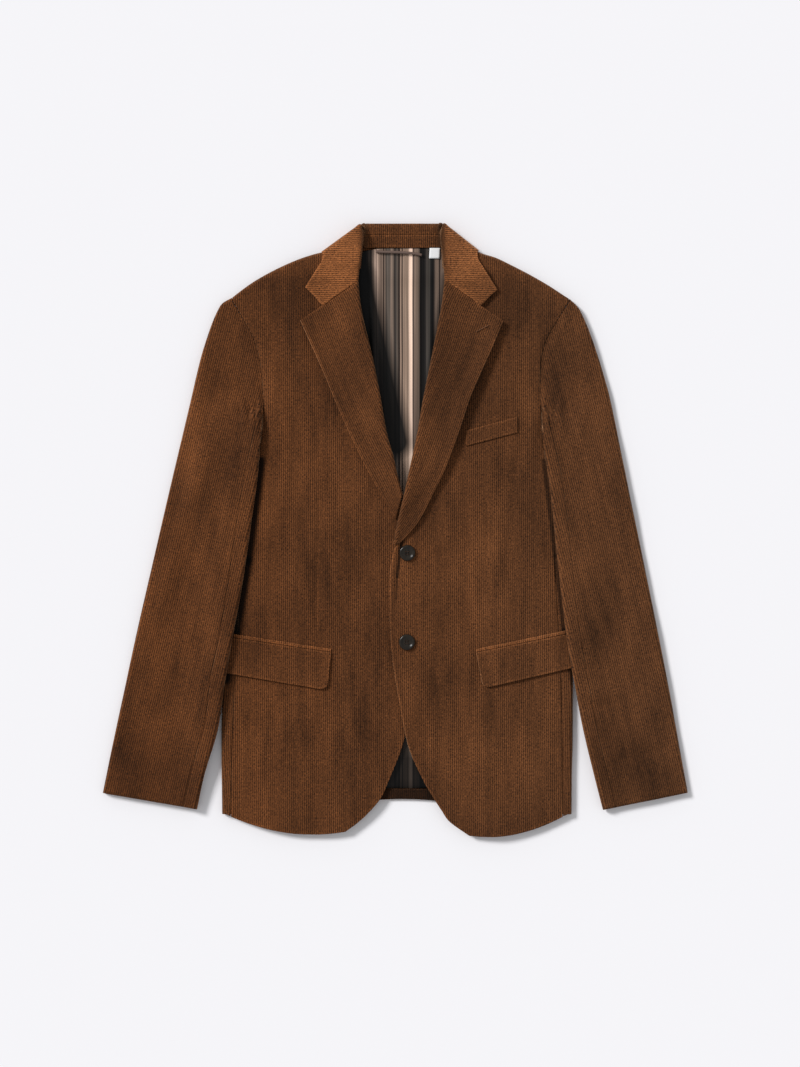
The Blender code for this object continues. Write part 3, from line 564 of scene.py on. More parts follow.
def back(name, half, finish):
    """A back from hem to shoulder and neck, in rows from its side seam to the centre seam."""
    columns = np.linspace(0, 1, 8)
    seam = BACK_SEAM_X + SEAM * half.sign * 0.5
    points = []
    for y in (-350, -343, -300, -200, -100, 0, 60, 85):
        line = between((half.side.read("back", y) - SEAM * half.sign, y), (seam, y), columns)
        if y < -340:
            line[:, 1] += 14 * smooth(columns) * (1 if y == -350 else 0.5)
        points.append(line)
    for share, inner_y in zip((0.03,) + ARMHOLE_SHARES, (96, 125, 155, 185, 213, 240, 266)):
        points.append(between(at_seam(half, share), (seam, inner_y), columns))
    neck = neck_point(half)
    for inset in SHOULDER_STEPS:
        x, y = shoulder_line(half, np.linspace(0, 1, 5), inset)
        x = np.append(x, [BACK_SEAM_X + (neck - BACK_SEAM_X) * 0.8,
                          BACK_SEAM_X + (neck - BACK_SEAM_X) * 0.4, seam])
        y = np.append(y, [352.0 - inset, 350.5 - inset, 350.5 - inset])
        points.append(np.stack([x, y], 1))
    points = full_grid(points)
    x, y = points[..., 0], points[..., 1]
    z = UNDER + neck_lift(x, y)
    turned = rounded(half, x, y, z, -1)
    beyond = (x - neck) * half.sign
    z = z + (turned - z) * smooth((beyond + 12) / 12)
    return cloth(name, flip(half, np.dstack([x, y, z])), CLOTH, finish)


def side(name, half, finish):
    """A side panel, turned under at the body's edge; at the hem it slopes down to its seam."""
    rows = []
    for y in (-354, -340, -300, -260, -200, -139, -80, -20, 40, 84.3):
        seam = half.side.read("seam", y) + SEAM * half.sign
        fold = half.side.read("fold", y) - MIDDLE * half.sign
        inner = half.side.read("back", y) + SEAM * half.sign
        line = [(seam, TOP), (0.5 * (seam + fold), TOP)]
        for angle in TURN_DOWN:
            line.append((fold + half.sign * FOLD * math.cos(angle), MIDDLE + FOLD * math.sin(angle)))
        line += [(0.5 * (inner + fold), UNDER), (inner, UNDER)]
        drop, rise = (2.8, 2.5) if y == -354 else (0.0, 0.0)
        rows.append([(x, y - drop + rise * np.clip((x - seam) / (fold - seam), 0, 1), z)
                     for x, z in line])
    return cloth(name, flip(half, np.array(rows))[:, ::-1], CLOTH, finish)


def lining(name, finish):
    """The back lining, up to the shoulders and the neck seam."""
    columns = np.array((-150, -132, -115, -98, -75, -45, -18, 9, 36, 65, 93, 110, 127, 145, 165), float)
    top = np.where(columns < 0, RIGHT.shoulder.read("y", columns), LEFT.shoulder.read("y", columns))
    beside = np.minimum(abs(columns - BACK_SEAM_X) - 54, 60)
    top = np.minimum(top - 14, 349.0) + 9.0 * smooth((6 - beside) / 12)
    rows = []
    for y in (-322.6, -90, 120, 240, 266, 286):
        rows.append(np.stack([columns, columns * 0 + y, LINING + neck_lift(columns, y)], 1))
    for share in (0.25, 0.55, 1):
        y = 286 + (top - 286) * share
        lifted = LINING + neck_lift(columns, y) - 0.6 * smooth((y - 344) / 8)
        rows.append(np.stack([columns, y, lifted], 1))
    return cloth(name, rows, SATIN, finish)


def back_hem(name, finish):
    """The back's hem, turned up over the foot of the lining."""
    columns = np.linspace(-150, 165, 9)
    low = -336 - 14 * smooth(abs(columns - BACK_SEAM_X) / 177)
    z = np.full(9, CLOTH + SEAM + TRIM / 2)
    rows = [np.stack([columns, low + 0.3, z], 1), np.stack([columns, low * 0 - 323.5, z], 1)]
    return cloth(name, rows, TRIM, finish)


# Sleeves

FRONT_SEAM = 17.0      # from a sleeve's inner fold to its front seam
BACK_SEAM = 32.0       # from its outer fold to its back seam, beneath
SEAM_GAP = 0.06        # half of what shows between its halves at the front seam
SECTIONS = (0, 0.1, 0.22, 0.34, 0.48, 0.62, 0.74, 0.82, 0.87, 0.91, 0.94, 0.96, 0.975, 0.988, 1)


class Sleeve:
    """Sections of a laid sleeve, from its cuff to its armhole."""

    def __init__(self, half, v):
        self.half = half
        self.inner, self.outer = self.ends(v)
        self.length = float(np.linalg.norm(self.outer - self.inner))
        self.hang = float(smooth((v - 0.45) / 0.55)) ** 2
        self.settle = float(smooth((v - 0.5) / 0.3))
        (in_low, out_low), (in_high, out_high) = self.ends(v - 0.01), self.ends(v + 0.01)
        turn = float(smooth((v - 0.93) / 0.07))
        self.inward = self.swung(self.normal(in_high - in_low, -half.sign), -1.0, turn)
        self.outward = self.swung(self.normal(out_high - out_low, half.sign), 1.0, turn)
        chord = (self.outer - self.inner) / self.length
        self.shift = np.array([1.8 * SEAM * half.sign * self.hang, 0.0])
        across = max(abs(float(chord @ self.normal(in_high - in_low, 1))) * self.length, 60.0)
        share = FRONT_SEAM / across
        self.seam = share + (ARMHOLE_SHARES[1] - share) * self.hang
        self.seam_gap = SEAM_GAP / across

    def ends(self, v):
        read = self.half.sleeve.read
        return (np.array([read("in_x", v), read("in_y", v)]),
                np.array([read("out_x", v), read("out_y", v)]))

    @staticmethod
    def normal(tangent, sign):
        across = np.array([tangent[1], -tangent[0]]) / np.linalg.norm(tangent)
        return across * np.sign(across[0]) * sign

    @staticmethod
    def swung(square, up, turn):
        """A direction square to a fold, swung towards the collar or the hem."""
        away = square + (np.array([0.0, up]) - square) * turn
        return away / np.linalg.norm(away)

    def plan(self, share):
        """A point of the section in plan; at the armhole it follows the armhole's curve."""
        chord = self.inner + (self.outer - self.inner) * share
        start, end = self.ends(1)
        curve = armhole_at(self.half, share) - start - (end - start) * share
        return chord + self.hang * curve + self.shift

    def arc(self, edge, away, angles):
        """The rounded fold at a silhouette point, turning in the direction away."""
        centre = edge - away * MIDDLE
        lift = sleeve_lift(self.half, *centre)
        points = []
        for angle in angles:
            flat = centre + away * FOLD * math.cos(angle)
            points.append((flat[0], flat[1], MIDDLE + FOLD * math.sin(angle) + lift))
        return points

    def wall(self, shares, height):
        points = []
        for share in shares:
            x, y = self.plan(share)
            lift = sleeve_lift(self.half, x, y)
            climb = min(lift / SLEEVE_STEP, 1.0)
            puff = PUFF * climb * (1 - climb) * smooth((y - 50) / 40) if height == TOP else 0.0
            points.append((x, y, height + lift + puff))
        return points

    def spread(self, first, last, at_armhole):
        """Even shares between two, going over to the armhole's named points."""
        even = np.linspace(first, last, len(at_armhole) + 2)[:-1]
        named = np.array([first, *at_armhole])
        return even + (named - even) * self.settle


def sleeve_top(name, half, finish):
    """The upper half of a sleeve, round its outer fold to the seam beneath."""
    rows = []
    for v in SECTIONS:
        section = Sleeve(half, v)
        high = 1 - MIDDLE / section.length
        seam = section.seam + section.seam_gap
        named = (0.5 * (seam + ARMHOLE_SHARES[2]), *ARMHOLE_SHARES[2:])
        shares = section.spread(seam, high, named)
        turn = section.arc(section.outer + section.shift, section.outward, TURN_DOWN)
        beneath = section.wall([1 - (BACK_SEAM - SEAM) / section.length], UNDER)
        rows.append(section.wall(shares, TOP) + turn + beneath)
    return cloth(name, flip(half, np.array(rows))[:, ::-1], CLOTH, finish)


def sleeve_under(name, half, finish):
    """The lower half of a sleeve, round its inner fold to the seam on top."""
    rows = []
    for v in SECTIONS:
        section = Sleeve(half, v)
        start = 1 - (BACK_SEAM + SEAM) / section.length
        shares = section.spread(start, MIDDLE / section.length, ARMHOLE_SHARES[-2::-1])
        turn = section.arc(section.inner + section.shift, section.inward, TURN_DOWN[::-1])
        halfway = section.seam * 0.55
        halfway += (ARMHOLE_SHARES[0] - halfway) * section.settle
        over = section.wall([halfway, section.seam - section.seam_gap], TOP)
        rows.append(section.wall(shares, UNDER) + turn + over)
    return cloth(name, flip(half, np.array(rows[::-1]))[:, ::-1], CLOTH, finish)


# Lapels and collar

def lapel_section(half, v):
    """One section of a lapel, from beneath its roll to its outer edge; v is 0 below, 1 at the gorge."""
    first, last = half.lapel.values[0, 0], half.lapel.values[-1, 0]
    roll_y = first + (last - first) * v
    read = half.lapel.read
    edge = np.array([read("edge_x", roll_y), read("edge_y", roll_y)])
    roll = np.array([half.roll.read("x", roll_y), roll_y])
    width = np.linalg.norm(edge - roll)
    away = (edge - roll) / width
    radius = min(ROLL, 0.3 * width)
    centre = roll + away * (radius + LEAF / 2)
    base = plain_front(half, *centre)
    points = []
    for angle in (-0.5, -0.75, -1.0, -1.25, -1.5):
        turn = math.pi * angle
        flat = centre + away * radius * math.cos(turn)
        points.append((flat[0], flat[1], base + radius + radius * math.sin(turn)))
    crest = 2 * radius - CLOTH / 2 - REST - LEAF / 2
    for share in (0.15, 0.35, 0.55, 0.75, 1.0):
        flat = centre + (edge - centre) * share
        air = crest * (1 - share) ** 2 + read("lift", roll_y) * share ** 2
        points.append((flat[0], flat[1], on_front(half, *flat) + REST + LEAF / 2 + max(air, 0)))
    return np.array(points)


def lapel(name, half, finish):
    rows = [lapel_section(half, v) for v in np.linspace(0, 1, 12)]
    return cloth(name, flip(half, np.array(rows)), LEAF, finish)


BUTTONHOLE_ENDS = ((100.5, 246.5), (116.0, 254.5))


def buttonhole(leaf):
    """A worked buttonhole near the top of the left lapel, for show."""
    bpy.context.view_layer.update()
    points = []
    for x, y in between(*BUTTONHOLE_ENDS, np.linspace(0, 1, 12)):
        met = leaf.ray_cast((x * MM, y * MM, 0.1), (0, 0, -1))[1]
        points.append((x, y, met.z / MM + LEAF / 2 + 0.15))
    stitch_row("buttonhole", points, 0.9, 1.9, 0.3, math.pi / 2, "silk")


def on_shoulder(half, x, y, air):
    return plain_front(half, x, y) + CLOTH / 2 + REST + LEAF / 2 + air


LEAF_AIR = np.linspace(2.4, 2.5, 7)   # from the gorge to the collar's outer edge
FOLD_TUCK = 2.2                       # how far the fold is tucked in beside the neck


def gorge_section(half):
    """The collar's end: along the lapel's gorge to the notch, then its free edge to the point."""
    section = lapel_section(half, 1.0)
    start, tip = section[4, :2], section[-1, :2]
    away = np.array([tip[1] - start[1], start[0] - tip[0]])
    away *= np.sign(away[1]) / np.linalg.norm(away)
    points = [section[0], section[2], section[4]]
    notch, point = np.array(half.notch), np.array(half.point)
    points += [np.array([*(start + (notch - start) * share), 0]) for share in (0.25, 0.5, 0.75, 1.0)]
    points += [np.array([*(notch + (point - notch) * share), 0]) for share in (0.5, 1.0)]
    points = np.array(points)
    points[:7, :2] += away * SEAM
    points[3:, 2] = on_shoulder(half, points[3:, 0], points[3:, 1], LEAF_AIR[1:])
    return points


def side_sections(half):
    """Sections of the leaf that lie on the shoulder, from the gorge to the fold over its edge."""
    sign = half.sign
    first = gorge_section(half)
    inner, outer = np.array(half.fold[0]) - (0.0, FOLD_TUCK), np.array(half.fold[1])
    along = (outer - inner) / np.linalg.norm(outer - inner)
    away = np.array([-along[1], along[0]])
    away *= np.sign(away[1])
    axis_in, axis_out = (p - away * (COLLAR_FOLD + LEAF / 2) for p in (inner, outer))
    shares = np.array((0, 0.12, 0.3, 0.5, 0.7, 0.85, 1.0))
    sections = [first]
    top = COLLAR_CREST + (COLLAR_CORNER - COLLAR_CREST) * shares
    # over the shoulder, going over from the gorge to the fold
    for k in (0.3, 0.6, 0.85):
        last = between(axis_in + np.array([-sign * 1.5, -0.5]), axis_out, shares)
        body = first[2:].copy()
        body[:, :2] = body[:, :2] * (1 - k) + last[:, :2] * k
        height = on_shoulder(half, body[:, 0], body[:, 1], LEAF_AIR)
        body[:, 2] = height * (1 - k ** 4) + top * k ** 4
        seam = first[0] * (1 - k) + np.array([inner[0] - sign * 2.5, 367.5, 9.6]) * k
        middle = 0.5 * (seam + body[0]) + np.array([-sign * 1.2, 0, 0.6])
        sections.append(np.vstack([seam, middle, body]))
    # round the fold and down to the floor
    for out, up in ((0.66, 0.96), (1.0, 0.5), (0.7, 0.03)):
        flat = between(axis_in, axis_out, shares) + away * COLLAR_FOLD * out
        ring = np.column_stack([flat, LEAF / 2 + (top - LEAF / 2) * up])
        drop = 1 - up
        seam = np.array([inner[0] - sign * (3 + 5 * drop), NECK_SEAM_Y, 9.4 - 0.8 * drop])
        middle = 0.5 * (seam + ring[0]) + np.array([0, 0, 1.5])
        sections.append(np.vstack([seam, middle, ring]))
    return sections


def back_section(x, share):
    """A section of the leaf behind the neck: up over the roll and down beneath the back."""
    edge_y = 338 + 3 * share
    turn = ((NECK_SEAM_Y, NECK_SEAM_Z), (375.5, 9.3), (380.0, 8.0), (381.2, 5.2), (379.0, 2.2))
    flat = [(y, LEAF / 2) for y in (374.5, 362, 350, edge_y)]
    return np.array([(x, y, z) for y, z in (*turn, *flat)])


def collar_fall(name, finish):
    """The collar's leaf, from one gorge round behind the neck to the other."""
    right, left = side_sections(RIGHT), side_sections(LEFT)
    middle = [back_section(x, abs(x - BACK_SEAM_X) / 55) for x in NECK_SECTIONS]
    for sections, near in ((right, middle[0]), (left, middle[-1])):
        lean = 0.55 * sections[-1] + 0.45 * near
        lean[1:4, 1] += 2.6
        lean[2:4, 2] = 7.0, 3.2
        lean[4:, 2] = LEAF / 2
        sections.append(lean)
    rows = right + middle + left[::-1]
    return cloth(name, np.array(rows)[:, ::-1], LEAF, finish)


def collar_stand(name, finish):
    """The strip between the neck seam and the leaf's fold."""
    right, left = side_sections(RIGHT), side_sections(LEFT)
    seams = [section[0] for section in right[1:]]
    seams += [np.array([x, NECK_SEAM_Y, NECK_SEAM_Z]) for x in NECK_SECTIONS]
    seams += [section[0] for section in left[:0:-1]]
    rows = []
    for top in seams:
        if top[1] < 366:
            sign = -1 if top[0] < BACK_SEAM_X else 1
            low = np.array([top[0] - sign * 3.2, top[1], 9.4])
        else:
            low = np.array([BACK_SEAM_X + (top[0] - BACK_SEAM_X) * 0.95, 352.0, 7.2])
        end = top + (low - top) / np.linalg.norm(low - top) * 0.5
        rows.append([low, 0.5 * (low + end), end])
    return cloth(name, np.array(rows)[:, ::-1], LEAF * 0.75, finish)


# Pockets and small pieces

POCKET_REST = 0.4      # air between a pocket's piece and the front


def patch(name, half, corners, thickness, air, finish, columns=9, rows=3, corner=0.0):
    """A flat piece on a front. corners are outer top, inner top, outer bottom, inner bottom."""
    outer_top, inner_top, outer_low, inner_low = (np.array(c) for c in corners)
    across = np.sin(np.linspace(0, math.pi / 2, columns))
    grid = []
    for share in np.linspace(0, 1, rows):
        top = between(outer_top, inner_top, across)
        low = between(outer_low, inner_low, across)
        length = np.linalg.norm(inner_low - outer_low)
        into = np.clip(1 - (1 - across) * length / corner, 0, 1) if corner else across * 0
        low[:, 1] += corner * (1 - np.sqrt(1 - into ** 2)) * 0.8
        line = top + (low - top) * share
        z = on_front(half, line[:, 0], line[:, 1]) + POCKET_REST + thickness / 2 + air * share
        grid.append(np.column_stack([line, z]))
    return cloth(name, flip(half, np.array(grid))[::-1], thickness, finish)


FLAP_CORNER = 11.0     # the inner corner's radius


def pocket(word, half, finish):
    """A flap, and the jet that it hangs from."""
    outer_top, inner_top, outer_low, inner_low = POCKETS[word]
    patch("flap_" + word, half, POCKETS[word], LEAF, 1.2, finish, corner=FLAP_CORNER, rows=4)
    up = np.array((0.0, 0.6))
    jet = [np.array(outer_top) + up + (0, 4.4), np.array(inner_top) + up + (0, 3.6),
           np.array(outer_top) + up, np.array(inner_top) + up]
    patch("jet_" + word, half, jet, TRIM, 0.0, finish_for("bright"), rows=2)


# Shader maths

class Value:
    """A shader socket that can be used in arithmetic."""

    def __init__(self, tree, socket):
        self.tree = tree
        self.socket = socket

    def math(self, operation, *others, clamp=False):
        node = self.tree.nodes.new("ShaderNodeMath")
        node.operation = operation
        node.use_clamp = clamp
        for slot, item in zip(node.inputs, (self, *others)):
            connect(self.tree, item, slot)
        return Value(self.tree, node.outputs[0])

    def __add__(self, other):
        return self.math("ADD", other)

    def __sub__(self, other):
        return self.math("SUBTRACT", other)

    def __rsub__(self, other):
        return (self * -1.0).math("ADD", other)

    def __mul__(self, other):
        return self.math("MULTIPLY", other)

    def clamped(self):
        """The same, kept between 0 and 1."""
        return self.math("ADD", 0.0, clamp=True)


def connect(tree, item, slot):
    if isinstance(item, Value):
        tree.links.new(item.socket, slot)
    else:
        slot.default_value = item


class Finish:
    """A material's node tree and its Principled shader."""

    def __init__(self, name, roughness, specular=0.5, sheen=0.0, sheen_tint=(1, 1, 1)):
        self.material = bpy.data.materials.new(name)
        self.material.use_nodes = True
        self.tree = self.material.node_tree
        self.shader = self.tree.nodes["Principled BSDF"]
        self.set("Roughness", roughness)
        self.set("Sheen Weight", sheen)
        self.set("Sheen Roughness", 0.4)
        self.set("Sheen Tint", (*sheen_tint, 1))
        self.set("Specular IOR Level", specular)

    def set(self, name, item):
        connect(self.tree, item, self.shader.inputs[name])

    def node(self, kind, settings=None, output=0, **inputs):
        """One output of a new node. i0, i1 and so on name its inputs by number."""
        node = self.tree.nodes.new(kind)
        for key, value in (settings or {}).items():
            if key == "stops":
                ramp = node.color_ramp
                while len(ramp.elements) < len(value):
                    ramp.elements.new(0.5)
                for element, (place, color) in zip(ramp.elements, value):
                    element.position = place
                for element, (place, color) in zip(ramp.elements, value):
                    element.color = (*color, 1)
            else:
                setattr(node, key, value)
        for key, item in inputs.items():
            numbered = key[0] == "i" and key[1:].isdigit()
            connect(self.tree, item, node.inputs[int(key[1:]) if numbered else key])
        return Value(self.tree, node.outputs[output])

    def mix(self, factor, first, second, blend="MIX"):
        settings = {"data_type": "RGBA", "blend_type": blend}
        return self.node("ShaderNodeMix", settings, 2, i0=factor, i6=first, i7=second)

    def noise(self, vector, scale, detail):
        return self.node("ShaderNodeTexNoise", None, 0, Vector=vector, Scale=scale, Detail=detail,
                         Roughness=0.5)

    def stretched_noise(self, vector, stretch, detail):
        """Noise with its own scale along each axis, in cells for each metre."""
        settings = {"operation": "MULTIPLY"}
        scaled = self.node("ShaderNodeVectorMath", settings, 0, i0=vector, i1=stretch)
        return self.noise(scaled, 1.0, detail)

    def place(self):
        """Where a point is in the object, in metres."""
        return self.node("ShaderNodeTexCoord", None, 3)

    def split(self, vector, axis):
        return self.node("ShaderNodeSeparateXYZ", None, axis, Vector=vector)

    def near_line(self, vector, start, end, reach):
        """1 on the line from start to end, in metres in plan, falling to 0 at its reach."""
        x, y = self.split(vector, 0) - start[0], self.split(vector, 1) - start[1]
        run = (end[0] - start[0], end[1] - start[1])
        squared = run[0] ** 2 + run[1] ** 2
        share = (x * (run[0] / squared) + y * (run[1] / squared)).clamped()
        off_x, off_y = x - share * run[0], y - share * run[1]
        off = (off_x * off_x + off_y * off_y).math("SQRT")
        return (off * (-1.0 / reach)).math("ADD", 1.0, clamp=True)

    def bump(self, height, strength, distance):
        self.set("Normal", self.node("ShaderNodeBump", None, 0, Strength=strength, Distance=distance,
                                     Height=height))


def linear(red, green, blue):
    """A colour given in the usual 0 to 255."""
    return tuple((c / 255 / 12.92) if c < 11 else ((c / 255 + 0.055) / 1.055) ** 2.4
                 for c in (red, green, blue))


PAINTED_LIGHT_PATCHES = (
    # painted highlights and shade in soft patches: centre, half-width, half-height, change of tone
    (-118, 288, 46, 60, -0.38), (136, 296, 46, 60, -0.34), (-150, 326, 60, 14, 0.3),
    (160, 326, 60, 14, 0.3), (-254, 150, 24, 120, 0.34), (262, 130, 22, 120, 0.2),
    (-292, -300, 90, 60, -0.26), (300, -300, 90, 60, -0.2), (-130, -230, 80, 80, 0.18),
    (72, 190, 48, 120, -0.24), (-182, 215, 24, 60, -0.2), (-300, -120, 26, 110, 0.15),
    (-140, 60, 60, 90, 0.1), (120, -60, 50, 70, 0.1), (200, 200, 24, 70, -0.15),
)
DARTS = (
    # start and end in plan, reach, change of tone
    ((-0.094, 0.037), (-0.097, -0.126), 0.0014, 0.3),
    ((0.116, 0.037), (0.116, -0.032), 0.0014, 0.3),
)
EDGE_CREASE_SHADE = (
    # painted shade in the furrow below the upper button, along the front's edge
    ((0.0105, -0.002), (0.0062, -0.026), 0.0028, -0.8),
    ((0.0062, -0.026), (0.0024, -0.058), 0.0026, -0.75),
    ((0.0024, -0.058), (0.0010, -0.086), 0.0018, -0.45),
)


def under_sleeves():
    """Where the sleeves' inner edges keep the light from the body."""
    lines = []
    for half, reach, change in ((RIGHT, 0.0075, -0.92), (LEFT, 0.0038, -0.65)):
        spots = []
        for v in (0.36, 0.5, 0.7, 0.97):
            x, y = half.sleeve.read("in_x", v), half.sleeve.read("in_y", v)
            spots.append((float(x * MM - half.sign * 0.002), float(y * MM)))
        lines += [(start, end, reach, change) for start, end in zip(spots, spots[1:])]
    return lines


def corduroy(settings, name="brown corduroy", side_glow=0.0, lines=(), depth=1.0):
    """Ribbed pile: light along each wale, dark between, with a brushed, uneven nap.

    side_glow paints a highlight on what lies beside the neck, lines are lighter or darker runs (the
    darts, and painted shade from the sleeves and in the crease below the button), depth scales the
    whole tone for the lit and shaded copies, and painted highlights and shade lie in soft patches and
    along free edges.
    """
    finish = Finish(name, 0.9, specular=0.12, sheen=0.4, sheen_tint=(1.0, 0.58, 0.32))
    uv = finish.node("ShaderNodeUVMap", {"uv_map": "cloth"})
    place = finish.place()
    x, y = finish.split(place, 0), finish.split(place, 1)
    drift = finish.stretched_noise(uv, (18.0, 10.0, 1.0), 1.0)
    across = finish.split(uv, 0) * (1000.0 / settings.wale_pitch) + drift * 0.5
    rib = (across * (2 * math.pi)).math("SINE") * 0.5 + 0.5
    nap = finish.stretched_noise(uv, (1000.0, 430.0, 1.0), 2.0)
    fleck = finish.stretched_noise(uv, (330.0, 140.0, 1.0), 2.0)
    streak = finish.stretched_noise(uv, (90.0, 14.0, 1.0), 3.0)
    patch_of_nap = finish.stretched_noise(place, (14.0, 9.0, 9.0), 4.0)
    # the pile's own speckle outweighs the even rib
    color = finish.mix(rib * 0.5 + nap * 2.1 - 0.80, (*settings.furrow_color, 1),
                       (*settings.wale_color, 1))
    tone = streak + fleck * 0.9 + patch_of_nap * 1.6 - 0.76
    # painted highlights and shade, patch by patch
    for at_x, at_y, wide, high, change in PAINTED_LIGHT_PATCHES:
        off_x, off_y = (x - at_x * MM) * (1000.0 / wide), (y - at_y * MM) * (1000.0 / high)
        off = off_x * off_x + off_y * off_y
        tone = tone * (off.math("MULTIPLY_ADD", -1.0, 1.0, clamp=True) * change + 1.0)
    # painted highlight on the collar's sides, beside the neck
    if side_glow:
        from_centre = (x - BACK_SEAM_X * MM).math("ABSOLUTE")
        tone = tone * (((from_centre - 0.050) * 140.0).clamped() * side_glow + 1.0)
    # lighter or darker runs: the darts' lines, and painted shade
    for start, end, reach, change in lines:
        near = (finish.near_line(place, start, end, reach) * 1.6).clamped()
        tone = tone * (near * change + 1.0)
    # painted rim highlight along the free edges; depth lightens or darkens a whole copy, as painted
    # highlight or shade
    edge = finish.node("ShaderNodeAttribute", {"attribute_name": "free_edge"}, 2)
    tone = tone * (edge * 0.6 + 1.0) * depth
    # painted light: the tone turns greener and bluer towards +X
    shade = finish.node("ShaderNodeCombineColor", None, 0, Red=tone,
                        Green=tone * (x * 0.22 + 1.0), Blue=tone * (x * 0.55 + 1.0))
    finish.set("Base Color", finish.mix(1.0, color, shade, "MULTIPLY"))
    finish.bump(rib * 0.7 + nap * 0.8, 0.8, 0.0008)
    return finish.material


STRIPES_AND_PAINTED_LIGHT = (
    # where across the repeat, red, green, blue; the first, darkest stops hold painted shadow beside the
    # lapel's roll, and the palest stops painted highlights on the satin's folds
    (0.000, 16, 13, 12), (0.120, 20, 17, 16), (0.150, 62, 54, 49), (0.175, 24, 20, 18),
    (0.205, 120, 104, 94), (0.222, 206, 180, 163), (0.240, 212, 186, 168), (0.258, 112, 96, 86),
    (0.320, 128, 110, 98), (0.338, 82, 75, 69), (0.380, 88, 80, 74), (0.395, 120, 104, 93),
    (0.440, 76, 72, 68), (0.462, 98, 86, 78), (0.470, 34, 28, 25), (0.484, 40, 32, 28),
    (0.492, 150, 128, 113), (0.545, 158, 136, 120), (0.575, 118, 102, 90), (0.590, 212, 187, 170),
    (0.612, 220, 195, 178), (0.632, 120, 103, 92), (0.690, 106, 92, 82), (0.705, 20, 17, 16),
    (0.760, 24, 21, 20), (0.775, 62, 57, 53), (0.800, 58, 54, 50), (0.815, 18, 16, 15),
    (0.850, 22, 19, 18), (0.870, 112, 97, 87), (0.955, 122, 104, 93), (1.000, 16, 13, 12),
)
PINSTRIPES = (
    # where across a fifth of the repeat, and the share of red, green and blue that is left
    (0.00, (1, 1, 1)), (0.10, (1, 1, 1)), (0.13, (0.3, 0.29, 0.3)), (0.19, (0.3, 0.29, 0.3)),
    (0.22, (1, 1, 1)), (0.50, (0.9, 0.9, 0.9)), (0.53, (0.12, 0.11, 0.11)),
    (0.57, (0.12, 0.11, 0.11)), (0.60, (0.7, 0.7, 0.7)), (0.72, (0.6, 0.6, 0.6)),
    (0.75, (1, 1, 1)),
)
SHADED = (
    # where the roll of a lapel keeps the light from the lining: start, end, reach, depth
    ((-0.044, 0.352), (-0.046, 0.310), 0.012, 0.9), ((-0.046, 0.315), (0.0, 0.110), 0.026, 0.97),
    ((0.066, 0.352), (0.068, 0.310), 0.008, 0.7), ((0.068, 0.315), (0.036, 0.110), 0.012, 0.7),
)
FIRST_STRIPE = 0.0505    # metres from the garment's middle to where the stripes' order starts


def striped_satin(settings):
    """Woven stripes in a silky weave, with painted shade towards the hem and beneath the lapels."""
    finish = Finish("striped satin", 0.4, specular=0.16)
    place = finish.place()
    x, y = finish.split(place, 0), finish.split(place, 1)
    wander = finish.stretched_noise(place, (8.0, 5.0, 8.0), 2.0)
    across = (x + FIRST_STRIPE) * (1000.0 / settings.stripe_repeat) + (wander - 0.5) * 0.02
    # woven stripes, with painted shadow and painted fold highlights among them
    stops = [(where, linear(*color)) for where, *color in STRIPES_AND_PAINTED_LIGHT]
    color = finish.node("ShaderNodeValToRGB", {"stops": stops}, 0, Fac=across.math("FRACT"))
    weave = finish.stretched_noise(place, (2600.0, 700.0, 1.0), 1.0)
    silk = finish.stretched_noise(place, (520.0, 5.0, 1.0), 3.0)
    # painted shade: the lining darkens towards the hem
    fall = ((y + 0.285) * 6.0).clamped()
    tone = (weave * 0.35 + silk * 1.95) * (fall * 0.95 + 0.05)
    thin = finish.node("ShaderNodeValToRGB", {"stops": PINSTRIPES}, 0,
                       Fac=(across * 5.0).math("FRACT"))
    color = finish.mix(1.0, color, thin, "MULTIPLY")
    for start, end, reach, depth in SHADED:
        near = (finish.near_line(place, start, end, reach) * 2.0).clamped()
        tone = tone * (1.0 - near * depth)
    shade = finish.node("ShaderNodeCombineColor", None, 0, Red=tone * 1.05, Green=tone,
                        Blue=tone * 0.96)
    finish.set("Base Color", finish.mix(1.0, color, shade, "MULTIPLY"))
    finish.bump(weave, 0.25, 0.0002)
    return finish.material


def dark_horn():
    finish = Finish("dark horn", 0.22, specular=0.3)
    cloud = finish.stretched_noise(finish.place(), (260.0, 160.0, 160.0), 3.0)
    low, high = (*linear(7, 6, 6), 1), (*linear(44, 36, 26), 1)
    finish.set("Base Color", finish.mix(cloud * 1.6 - 0.3, low, high))
    return finish.material


def plain(name, color, roughness=0.7):
    finish = Finish(name, roughness)
    speck = finish.noise(finish.place(), 1800.0, 1.0)
    low = [c * 0.86 for c in color]
    finish.set("Base Color", finish.mix(speck, (*low, 1), (*color, 1)))
    return finish.material


FINISHES = {}


